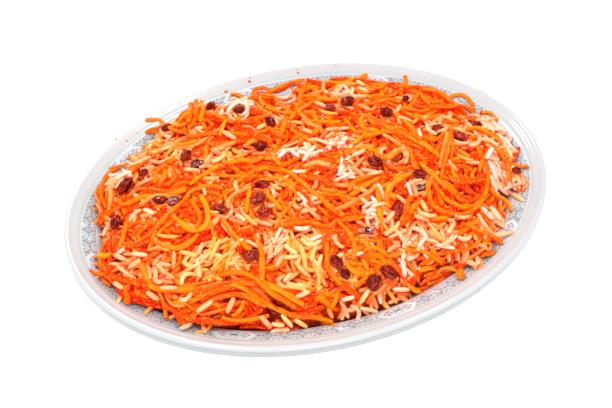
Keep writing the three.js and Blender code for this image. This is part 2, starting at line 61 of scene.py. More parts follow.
PLATE_TOP = [
    (0.0003, LIP_EDGE + 0.0009),
    (0.0010, LIP_TOP - 0.0006),
    (LIP_ROUND, LIP_TOP),
    (0.0046, LIP_TOP - 0.0009),
    (0.0060, LIP_TOP - 0.0019),
    (0.0068, LIP_TOP - 0.0019),
    (0.0082, LIP_TOP - 0.0023),
    (BAND_OUTER, 0.0241),
    (BAND_INNER, 0.0214),
    (0.024, 0.016),
    (0.031, 0.009),
    (0.039, 0.006),
    (0.049, FLOOR_Z),
    (0.060, FLOOR_Z),
]
PLATE_UNDER = [
    (0.0, LIP_EDGE),
    (0.0005, 0.0232),
    (0.0015, 0.0218),
    (0.017, 0.0183),
    (0.0285, 0.0065),
    (0.037, 0.003),
    (FOOT_INSET - 0.002, FLOOR_Z - WALL),
    (FOOT_INSET, 0.0002),
    (FOOT_INSET + 0.0005, 0.0),
    (FOOT_INSET + FOOT_WIDTH - 0.0005, 0.0),
    (FOOT_INSET + FOOT_WIDTH, 0.0002),
    (FOOT_INSET + FOOT_WIDTH + 0.0015, FLOOR_Z - WALL),
    (0.060, FLOOR_Z - WALL),
]

HEAP_INSET, HEAP_FAR_BULGE = 0.0225, 0.003
HEAP_BULGE, HEAP_BULGE_AT, HEAP_BULGE_WIDTH = 0.008, -0.35, 0.75
HEAP_PEAK, HEAP_EDGE_RISE = 0.044, 0.0034
HEAP_SHOULDER, HEAP_ROUNDING = 4.5, 0.75
EDGE_RIPPLE = 0.0012

# The core under the laid pieces: how far it is sunk and drawn in from the outline, its steepest
# flanks, and the mound that it has under each raisin.
CORE_DROP, CORE_SHOULDER = 0.0060, 4.0
CORE_SLOPE, CORE_FAR_SLOPE, RIM_SLOPE = 0.8, 0.5, 1.4
MOUND_DEPTH, MOUND_FLAT, MOUND_SLOPE = 0.0045, 0.003, 0.7
MOAT = 0.055
CORE_CLEAR = 0.0003

# Raisins: how many there are, how much of its solid a skin fills, and how far grains keep off.
RAISIN_COUNT, SKIN_SHARE, BALL_LEVELS = 36, 0.97, 4
RAISIN_MARGIN, RAISIN_DEPTH, RAISIN_CROSSED = 0.0006, 0.0012, 0.45
LOOSE_CLEAR = 0.6

# Shares of each kind among the pieces that the picture doesn't set, and how a patch of rice reads.
RICE_SHARES = {"tinted": 0.7, "gold": 0.16, "white": 0.04, "cream": 0.10}
CARROT_SHARES = {"d": 0.42, "o": 0.44, "y": 0.09, "p": 0.05}
PATCH_REACH, PATCH_PURITY = 1.2, 0.8
SHORTEST_SEEN, LONGEST_SEEN = 0.007, 0.0155

# Laying: the draws, the field of heights, what counts as bare or buried, and the gap left under
# a raisin.
SEED = 20
FIELD_CELL, FIELD_MARGIN = 0.0008, 0.004
GAP_COVER, HIDDEN = 0.0011, 0.0036
FOOD_EDGE, NEAR_EDGE = 0.02, 0.14
BED_GAP, BED_TRIES = 0.0004, 80
# Painted shade deep in the heap: how open a place at the surface counts, and the depth over which
# its colour darkens to full painted shade.
OPEN_SHARE, OPEN_DEPTH = 0.7, 0.0042

# Grains, strips and specks: sizes, how far they sink in and how high they lie over uneven ground.
GRAIN_LENGTH, GRAIN_WIDTH, GRAIN_BEND = 0.0112, 0.0027, 0.0014
GRAIN_FLATNESS, GRAIN_STEEPEST = 0.9, 0.9
STRIP_WIDTH, STRIP_THICKNESS = 0.0029, 0.0019
STRIP_STEP, STRIP_SHORTEST = 0.0014, 0.012
STRIP_STEEPEST, STRIP_SAGS = 0.7, 60
SETTLE, GRAIN_SETTLE = 0.0007, 0.0008
BEDDING, GRAIN_BEDDING = 0.2, 0.1
SPECKS, SPECK_SIZES = 220, (0.00035, 0.0007)
CRUMB_SIZE = 0.0008

# The core's mesh: rings and columns on top, and rings underneath.
CORE_RINGS, CORE_COLUMNS, CORE_LOW_RINGS = 100, 300, 22

# The studio: the floor's half side and its depth under the platter, the world's strength and what
# glossy rays see less of it, and the lamps by name, place, side and power.
FLOOR_HALF, FLOOR_DROP = 3.0, 0.0002
WORLD_STRENGTH, GLOSSY_DIM, DIFFUSE_BOUNCES = 1.22, 1.05, 12
LAMPS = [
    ("key", (-0.3, -0.1, 0.95), 0.12, 3.7),
    ("fill", (0.4, 0.1, 0.9), 0.12, 1.2),
    ("back", (0.1, 0.7, 0.8), 0.12, 1.5),
    ("front", (-0.1, -0.8, 0.6), 0.5, 1.8),
]

# The picture's view.
PICTURE_CENTRE = (306, 204)
PICTURE_WIDTH = 612
FOCAL_PIXELS = 1168
VIEW_ELEVATION, VIEW_TURN = math.radians(43.5), math.radians(26.6)
VIEW_DISTANCE = 0.7
VIEW_SHIFT = (-0.0031, -0.015)
STRIP_PIXEL = 0.00048
HIGHEST, LOWEST, SIGHT_STEP = 0.060, 0.018, 0.0004
CLEAR_WIDTH, CLEAR_HEIGHT = 7.0, 5.0


def picture_place(x, y, z):
    """Where the picture shows a place."""
    aside = x * math.cos(VIEW_TURN) - y * math.sin(VIEW_TURN) - VIEW_SHIFT[0]
    away = x * math.sin(VIEW_TURN) + y * math.cos(VIEW_TURN) - VIEW_SHIFT[1]
    rise = z - LIP_TOP
    sin, cos = math.sin(VIEW_ELEVATION), math.cos(VIEW_ELEVATION)
    depth = VIEW_DISTANCE + away * cos - rise * sin
    u = PICTURE_CENTRE[0] + FOCAL_PIXELS * aside / depth
    return u, PICTURE_CENTRE[1] - FOCAL_PIXELS * (away * sin + rise * cos) / depth


def seen_places(places, height):
    """The places in plan that picture places show, where height(x, y) gives what is seen."""
    u, v = np.array(places, float).T
    right, up = (u - PICTURE_CENTRE[0]) / FOCAL_PIXELS, (PICTURE_CENTRE[1] - v) / FOCAL_PIXELS
    sin, cos = math.sin(VIEW_ELEVATION), math.cos(VIEW_ELEVATION)
    found = np.zeros((len(u), 2))
    open_rays = np.ones(len(u), bool)
    for z in np.arange(HIGHEST, LOWEST, -SIGHT_STEP):
        rise = z - LIP_TOP
        away = (up * (VIEW_DISTANCE - rise * sin) - rise * cos) / (sin - up * cos)
        aside = right * (VIEW_DISTANCE + away * cos - rise * sin) + VIEW_SHIFT[0]
        ahead = away + VIEW_SHIFT[1]
        x = aside * math.cos(VIEW_TURN) + ahead * math.sin(VIEW_TURN)
        y = ahead * math.cos(VIEW_TURN) - aside * math.sin(VIEW_TURN)
        found[open_rays] = np.column_stack([x, y])[open_rays]
        open_rays &= height(x, y) < z
        if not open_rays.any():
            break
    return found


def smooth_path(points, step):
    """A Catmull-Rom curve through the points, as places about one step apart."""
    p = np.array(points, float)
    p = np.vstack([2 * p[0] - p[1], p, 2 * p[-1] - p[-2]])
    t = np.linspace(0, 1, 12, endpoint=False)[:, None]
    dense = [
        0.5 * (2 * b + (c - a) * t + (2 * a - 5 * b + 4 * c - d) * t**2
               + (3 * b - a - 3 * c + d) * t**3)
        for a, b, c, d in zip(p, p[1:], p[2:], p[3:])
    ]
    dense = np.vstack([*dense, p[-2:-1]])
    lengths = np.r_[0, np.cumsum(np.linalg.norm(np.diff(dense, axis=0), axis=1))]
    where = np.linspace(0, lengths[-1], max(4, round(lengths[-1] / step) + 1))
    return np.column_stack([np.interp(where, lengths, column) for column in dense.T])


def smoothed(values, times):
    """A row of values, each drawn to its neighbours, with the ends kept."""
    values = values.copy()
    for _ in range(times):
        values[1:-1] = (values[:-2] + 2 * values[1:-1] + values[2:]) / 4
    return values


def oval_point(t, inset):
    """The point on the platter's oval at angle t, moved inwards by an inset."""
    across = np.hypot(HALF_WIDTH * np.cos(t), HALF_LENGTH * np.sin(t))
    x = (HALF_LENGTH - inset * HALF_WIDTH / across) * np.cos(t)
    return x, (HALF_WIDTH - inset * HALF_LENGTH / across) * np.sin(t)


def inset_at(x, y):
    """How far places lie inside the oval's edge, by closing in on the nearest edge point."""
    squares = HALF_LENGTH**2 - HALF_WIDTH**2
    px, py = np.abs(x), np.abs(y)
    cos = sin = np.full(np.shape(px), math.sqrt(0.5))
    for _ in range(5):
        middle_x, middle_y = squares * cos**3 / HALF_LENGTH, -squares * sin**3 / HALF_WIDTH
        reach = np.hypot(HALF_LENGTH * cos - middle_x, HALF_WIDTH * sin - middle_y)
        away = np.hypot(px - middle_x, py - middle_y) + 1e-12
        cos = np.clip(((px - middle_x) * reach / away + middle_x) / HALF_LENGTH, 0, 1)
        sin = np.clip(((py - middle_y) * reach / away + middle_y) / HALF_WIDTH, 0, 1)
        size = np.hypot(cos, sin) + 1e-12
        cos, sin = cos / size, sin / size
    inside = (x / HALF_LENGTH) ** 2 + (y / HALF_WIDTH) ** 2 < 1
    distance = np.hypot(px - HALF_LENGTH * cos, py - HALF_WIDTH * sin)
    return np.where(inside, distance, -distance)


PLATE_TOP_CURVE = smooth_path(PLATE_TOP, 0.0005)


def plate_top(x, y):
    """The height of the platter's upper surface."""
    return np.interp(inset_at(x, y), PLATE_TOP_CURVE[:, 0], PLATE_TOP_CURVE[:, 1])


def heap_inset(t):
    """How far the heap's edge lies inside the platter's: less at the near right and far side."""
    turn = np.arctan2(np.sin(t - HEAP_BULGE_AT), np.cos(t - HEAP_BULGE_AT))
    bulge = HEAP_BULGE * np.exp(-((turn / HEAP_BULGE_WIDTH) ** 2))
    far = HEAP_FAR_BULGE * np.maximum(0, np.sin(t))
    return HEAP_INSET - bulge - far + EDGE_RIPPLE * (np.sin(5 * t + 1) + 0.6 * np.sin(11 * t))


def heap_edge(t):
    inset = heap_inset(t)
    return (HALF_LENGTH - inset) * np.cos(t), (HALF_WIDTH - inset) * np.sin(t)


def heap_reach(x, y):
    """0 in the heap's middle to 1 at its edge, and the edge angle."""
    t = np.arctan2(y / HALF_WIDTH, x / HALF_LENGTH)
    for _ in range(3):
        inset = heap_inset(t)
        t = np.arctan2(y / (HALF_WIDTH - inset), x / (HALF_LENGTH - inset))
    edge_x, edge_y = heap_edge(t)
    return np.hypot(x, y) / np.hypot(edge_x, edge_y), t


def heap_waves(x, y):
    """Low waves on the heap."""
    return 0.0015 * np.sin(x / 0.017 + 1) * np.sin(y / 0.014) + 0.001 * np.sin((x + y) / 0.023)


def heap_top(x, y):
    """The heap's smooth surface in the solid model."""
    reach, t = heap_reach(x, y)
    edge_z = plate_top(*heap_edge(t)) + HEAP_EDGE_RISE
    within = np.minimum(1, reach)
    dome = (1 - within**HEAP_SHOULDER) ** HEAP_ROUNDING
    return edge_z + (HEAP_PEAK - edge_z) * dome + heap_waves(x, y) * (1 - within**2)


# Where the heap meets the platter in the picture, without the pieces that reach out of it.
OUTLINE = """
    96,192 97,205 99,220 104,232 104,250 99,262 101,278 114,287 127,300 143,303 160,308 176,318
    200,326 235,326 270,325 310,325 325,318 344,316 357,316 378,310 389,304 403,297 410,292
    417,281 435,271 455,265 476,264 488,252 495,238 496,226 503,214 503,200 508,190 511,177
    512,160 510,144 506,133 497,126 479,124 472,120 464,117 455,112 447,105 440,97 420,91 402,88
    388,88 374,84 356,79 335,82 320,86 310,92 303,103 290,106 270,108 258,106 243,103 232,105
    217,108 205,106 198,103 190,112 185,119 172,126 163,139 150,146 143,149 134,157 128,166
    112,177 103,186"""
OUTLINE_RISE = 0.0045


def picture_points(text):
    return [tuple(map(float, place.split(","))) for place in text.split()]


def heap_outline():
    """The edge angles of the outline, and its share of the solid's reach at each."""
    places = seen_places(
        picture_points(OUTLINE),
        lambda x, y: plate_top(x, y) + OUTLINE_RISE * (1 + 0.7 * np.sin(np.arctan2(y, x))),
    )
    reach, angle = heap_reach(*places.T)
    return angle, reach


OUTLINE_ANGLES, OUTLINE_REACHES = heap_outline()


def heap_spread(t):
    """How far the food reaches, as a share of the solid's edge."""
    return np.interp(t, OUTLINE_ANGLES, OUTLINE_REACHES, period=2 * np.pi)


class HeightField:
    """Heights over a grid in plan, on which pieces are laid."""

    def __init__(self, half_x, half_y, cell):
        self.cell, self.corner = cell, (-half_x, -half_y)
        self.x, self.y = np.meshgrid(
            np.arange(-half_x, half_x, cell), np.arange(-half_y, half_y, cell), indexing="ij"
        )
        self.z = plate_top(self.x, self.y)

    def at(self, x, y, z=None):
        """Heights at places, between the grid's own."""
        grid = self.z if z is None else z
        gx = np.clip((x - self.corner[0]) / self.cell, 0, grid.shape[0] - 1.001)
        gy = np.clip((y - self.corner[1]) / self.cell, 0, grid.shape[1] - 1.001)
        i, j = gx.astype(int), gy.astype(int)
        gx, gy = gx - i, gy - j
        low = grid[i, j] * (1 - gx) + grid[i + 1, j] * gx
        high = grid[i, j + 1] * (1 - gx) + grid[i + 1, j + 1] * gx
        return low * (1 - gy) + high * gy

    def stamp(self, x, y, z, radius, rise):
        """Raises the grid to round tops of a radius, which rise from z at their middles."""
        reach = math.ceil(np.max(radius) / self.cell)
        steps = np.arange(-reach, reach + 1)
        i = np.rint((x - self.corner[0]) / self.cell).astype(int)[:, None, None]
        j = np.rint((y - self.corner[1]) / self.cell).astype(int)[:, None, None]
        i = np.clip(i + steps[:, None], 0, self.z.shape[0] - 1)
        j = np.clip(j + steps, 0, self.z.shape[1] - 1)
        radius = np.broadcast_to(radius, x.shape)[:, None, None]
        away = np.hypot(self.x[i, j] - x[:, None, None], self.y[i, j] - y[:, None, None]) / radius
        rise = np.broadcast_to(rise, x.shape)[:, None, None]
        top = z[:, None, None] + rise * np.sqrt(np.clip(1 - away**2, 0, 1))
        inside = away < 1
        i, j = np.broadcast_arrays(i, j)
        np.maximum.at(self.z, (i[inside], j[inside]), top[inside])

    def blurred(self, cells):
        """The heights, each an average over a window of cells."""
        window = np.hanning(2 * cells + 3)[1:-1]
        window /= window.sum()
        heights = self.z
        for axis in (0, 1):
            heights = sum(w * np.roll(heights, k - cells, axis) for k, w in enumerate(window))
        return heights


def ring_quads(rings, sides):
    """Faces between rings of points, as (rings - 1, sides, 4)."""
    k, i = np.meshgrid(np.arange(rings - 1), np.arange(sides), indexing="ij")
    j = (i + 1) % sides
    return np.stack([k * sides + i, (k + 1) * sides + i, (k + 1) * sides + j, k * sides + j], -1)


def tube_faces(rings, sides):
    """Faces of a tube of rings closed by a point at each end, the points last."""
    quads = ring_quads(rings, sides)[..., [0, 3, 2, 1]]
    i = np.arange(sides)
    j = (i + 1) % sides
    first, last = rings * sides, (rings - 1) * sides
    start = np.column_stack([j, i, np.full(sides, first)])
    end = np.column_stack([last + i, last + j, np.full(sides, first + 1)])
    return quads.reshape(-1, 4), np.vstack([start, end])


def new_piece(name, points, faces, material, values=None):
    """A smooth mesh piece on the plate's body, from points, arrays of faces and point values."""
    mesh = bpy.data.meshes.new(name)
    corners = np.concatenate([f.ravel() for f in faces]).astype(np.int32)
    sizes = np.concatenate([np.full(len(f), f.shape[1]) for f in faces])
    mesh.vertices.add(len(points))
    mesh.vertices.foreach_set("co", np.asarray(points, np.float32).ravel())
    mesh.loops.add(len(corners))
    mesh.loops.foreach_set("vertex_index", corners)
    mesh.polygons.add(len(sizes))
    mesh.polygons.foreach_set("loop_start", np.r_[0, np.cumsum(sizes)[:-1]].astype(np.int32))
    mesh.polygons.foreach_set("use_smooth", np.ones(len(sizes), bool))
    mesh.update(calc_edges=True)
    for key, value in (values or {}).items():
        value = np.asarray(value, np.float32)
        kind, field = ("FLOAT", "value") if value.ndim == 1 else ("FLOAT_VECTOR", "vector")
        mesh.attributes.new(key, kind, "POINT").data.foreach_set(field, value.ravel())
    mesh.materials.append(material)
    piece = bpy.data.objects.new(name, mesh)
    bpy.context.collection.objects.link(piece)
    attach(piece, "root")
    return piece


class Tubes:
    """Tubes that become one joined mesh, each with its own tint, which for grains and strips also
    holds painted shade.
    """

    def __init__(self):
        self.points, self.quads, self.tris, self.tints, self.strands = [], [], [], [], []
        self.count = 0

    def add(self, rings, ends, tint, length, seed=None):
        """Adds a tube: rings (n, sides, 3), its two end points, a tint for each ring or for all,
        which for grains and strips holds painted shade by depth, and its length for the grain."""
        n, sides, _ = rings.shape
        tint = np.broadcast_to(tint, n)
        seed = tint[0] if seed is None else seed
        quads, tris = tube_faces(n, sides)
        self.points += [rings.reshape(-1, 3), np.array(ends)]
        self.quads.append(quads + self.count)
        self.tris.append(tris + self.count)
        along = np.repeat(np.linspace(0, length, n), sides)
        around = np.tile(np.arange(sides) / sides, n)
        self.strands.append(np.column_stack([
            np.r_[along, 0, length],
            np.r_[np.abs(around - 0.5) * 2, 0.5, 0.5],
            np.full(n * sides + 2, 7.3 * seed),
        ]))
        self.tints.append(np.r_[np.repeat(tint, sides), tint[0], tint[-1]])
        self.count += n * sides + 2

    def make(self, name, material):
        values = {"tint": np.concatenate(self.tints), "strand": np.vstack(self.strands)}
        faces = [np.vstack(self.quads), np.vstack(self.tris)]
        return new_piece(name, np.vstack(self.points), faces, material, values)


def tube_rings(centres, across, out, half_width, half_thickness, section):
    """Rings of a section (sides, 2) about centres, with a width and thickness at each."""
    wide = section[None, :, :1] * half_width[:, None, None] * across[:, None, :]
    thick = section[None, :, 1:] * half_thickness[:, None, None] * out[:, None, :]
    return centres[:, None, :] + wide + thick


def section_points(sides, squareness):
    """A round section, or one drawn towards a rectangle."""
    angle = 2 * np.pi * (np.arange(sides) + 0.5) / sides
    return np.column_stack([
        np.sign(trig) * np.abs(trig) ** squareness for trig in (np.cos(angle), np.sin(angle))
    ])


def unit(vectors):
    return vectors / (np.linalg.norm(vectors, axis=-1, keepdims=True) + 1e-12)


def painted_depth_shading(x, y, z):
    """Painted shade by depth: from 0 for places deep in the heap, whose colour is darkened as though
    in shade, to 1 for those that stand out of it.
    """
    return np.clip(OPEN_SHARE - (field.at(x, y, field_blurred) - z - 0.001) / OPEN_DEPTH, 0, 1)


GRAIN_STATIONS = np.array([-0.96, -0.82, -0.45, 0.0, 0.45, 0.82, 0.96])
GRAIN_SWELL = np.array([0.48, 0.82, 0.98, 1.0, 0.96, 0.78, 0.42])
GRAIN_SECTION = section_points(8, 1.0)
GRAIN_FEEL, GRAIN_SPAN = 0.6, 0.74
STRIP_SECTION = section_points(8, 0.5)
LANES = np.array([-0.36, 0.0, 0.36])
STAMP_WIDTH, STAMP_RISE = 0.34, 0.0003


class Grain:
    """A grain of rice laid on the field, by its middle line and width."""

    def __init__(self, field, place, heading, length, width, bend):
        along, aside = GRAIN_STATIONS * length / 2, bend * (1 - GRAIN_STATIONS**2)
        self.x = place[0] + along * math.cos(heading) - aside * math.sin(heading)
        self.y = place[1] + along * math.sin(heading) + aside * math.cos(heading)
        self.radius = GRAIN_SWELL * width / 2
        side_x = -math.sin(heading) * self.radius * GRAIN_FEEL
        side_y = math.cos(heading) * self.radius * GRAIN_FEEL
        under = field.at(
            np.stack([self.x, self.x + side_x, self.x - side_x]),
            np.stack([self.y, self.y + side_y, self.y - side_y]),
        ).max(0)
        slope = (under[4:].mean() - under[:3].mean()) / (GRAIN_SPAN * length)
        slope = min(GRAIN_STEEPEST, max(-GRAIN_STEEPEST, slope))
        level = under - slope * along
        bottom = level.mean() + GRAIN_BEDDING * (level.max() - level.mean()) + slope * along
        self.z = bottom + self.radius.max() - GRAIN_SETTLE
        self.length = length

    def top(self):
        return self.z + self.radius

    def stamp(self, field):
        stations = np.arange(len(self.x))
        between = np.linspace(0, stations[-1], 2 * stations[-1] + 1)
        x, y, z, radius = (
            np.interp(between, stations, row) for row in (self.x, self.y, self.z, self.radius)
        )
        field.stamp(x, y, z, radius, radius)

    def cover(self, field):
        """The least height of what lies over the grain."""
        return (field.at(self.x, self.y) - self.top()).min()

    def build(self, tubes, tint):
        centres = np.column_stack([self.x, self.y, self.z])
        ahead = unit(np.gradient(centres, axis=0))
        across = unit(np.cross(np.array([0, 0, 1.0]), ahead))
        out = np.cross(ahead, across)
        thickness = self.radius * GRAIN_FLATNESS
        rings = tube_rings(centres, across, out, self.radius, thickness, GRAIN_SECTION)
        reach = 0.03 * self.length
        ends = [centres[0] - reach * ahead[0], centres[-1] + reach * ahead[-1]]
        # Each ring's tint mixes the grain's own tint with painted shade, darker deep in the heap.
        tubes.add(rings, ends, 0.5 * tint + 0.5 * painted_depth_shading(*centres.T), self.length, tint)


class Strip:
    """A flat carrot strip draped on the field along a path in plan."""

    def __init__(self, field, path, width, thickness, sag, draw, lift=0.0):
        ahead = unit(np.gradient(path, axis=0))
        side = np.column_stack([-ahead[:, 1], ahead[:, 0]])
        lanes = LANES * width
        self.lane_x = path[:, 0, None] + side[:, 0, None] * lanes
        self.lane_y = path[:, 1, None] + side[:, 1, None] * lanes
        heights = field.at(self.lane_x, self.lane_y)
        tilt = (heights[:, 2] - heights[:, 0]) / (lanes[2] - lanes[0])
        tilt = smoothed(np.clip(tilt, -STRIP_STEEPEST, STRIP_STEEPEST), 4)
        level = heights - tilt[:, None] * lanes
        rest = smoothed(level.mean(1) + BEDDING * (level.max(1) - level.mean(1)), 3)
        z = rest.copy()
        for _ in range(STRIP_SAGS):
            z[1:-1] = np.maximum(rest[1:-1], (z[:-2] + z[2:]) / 2 - sag)
        place = np.linspace(0, 1, len(z))
        ends = lift * (np.abs(2 * place - 1) ** 4)
        z = smoothed(z, 2) + thickness / 2 - SETTLE + ends
        self.lane_z = z[:, None] + tilt[:, None] * lanes + thickness / 2
        self.centres = np.column_stack([path, z])
        self.ahead = unit(np.gradient(self.centres, axis=0))
        flat = np.column_stack([side, tilt])
        across = unit(flat - (flat * self.ahead).sum(1)[:, None] * self.ahead)
        out = np.cross(self.ahead, across)
        count = len(z)
        twist = smoothed(draw.normal(0, 1, count), 12)
        twist = twist / (np.abs(twist).max() + 1e-9) * draw.uniform(0.1, 0.55)
        self.across = across * np.cos(twist)[:, None] + out * np.sin(twist)[:, None]
        self.out = np.cross(self.ahead, self.across)
        self.length = STRIP_STEP * (count - 1)
        wander = smoothed(draw.normal(0, 1, count), 8)
        from_end = np.minimum(np.arange(count), np.arange(count)[::-1]) * STRIP_STEP
        taper = draw.uniform(0.55, 1.0)
        self.swell = (taper + (1 - taper) * np.minimum(1, from_end / draw.uniform(0.002, 0.006)))
        self.swell *= 1 + 0.25 * wander / (np.abs(wander).max() + 1e-9) * draw.uniform(0.3, 1)
        self.width, self.thickness = width, thickness

    def stamp(self, field):
        x, y, z = self.lane_x.ravel(), self.lane_y.ravel(), self.lane_z.ravel() - STAMP_RISE
        field.stamp(x, y, z, np.full(x.size, STAMP_WIDTH * self.width), STAMP_RISE)

    def cover(self, field):
        """The least height of what lies over the strip."""
        return (field.at(self.lane_x, self.lane_y) - self.lane_z).min()

    def build(self, tubes, tint):
        half_width = self.swell * self.width / 2
        half_thickness = np.sqrt(self.swell) * self.thickness / 2
        rings = tube_rings(
            self.centres, self.across, self.out, half_width, half_thickness, STRIP_SECTION
        )
        reach = 0.3 * self.thickness
        ends = [
            self.centres[0] - reach * self.ahead[0], self.centres[-1] + reach * self.ahead[-1]
        ]
        # Each ring's tint mixes the strip's own tint with painted shade, darker deep in the heap.
        tubes.add(
            rings, ends, 0.45 * tint + 0.55 * painted_depth_shading(*self.centres.T), self.length, tint
        )


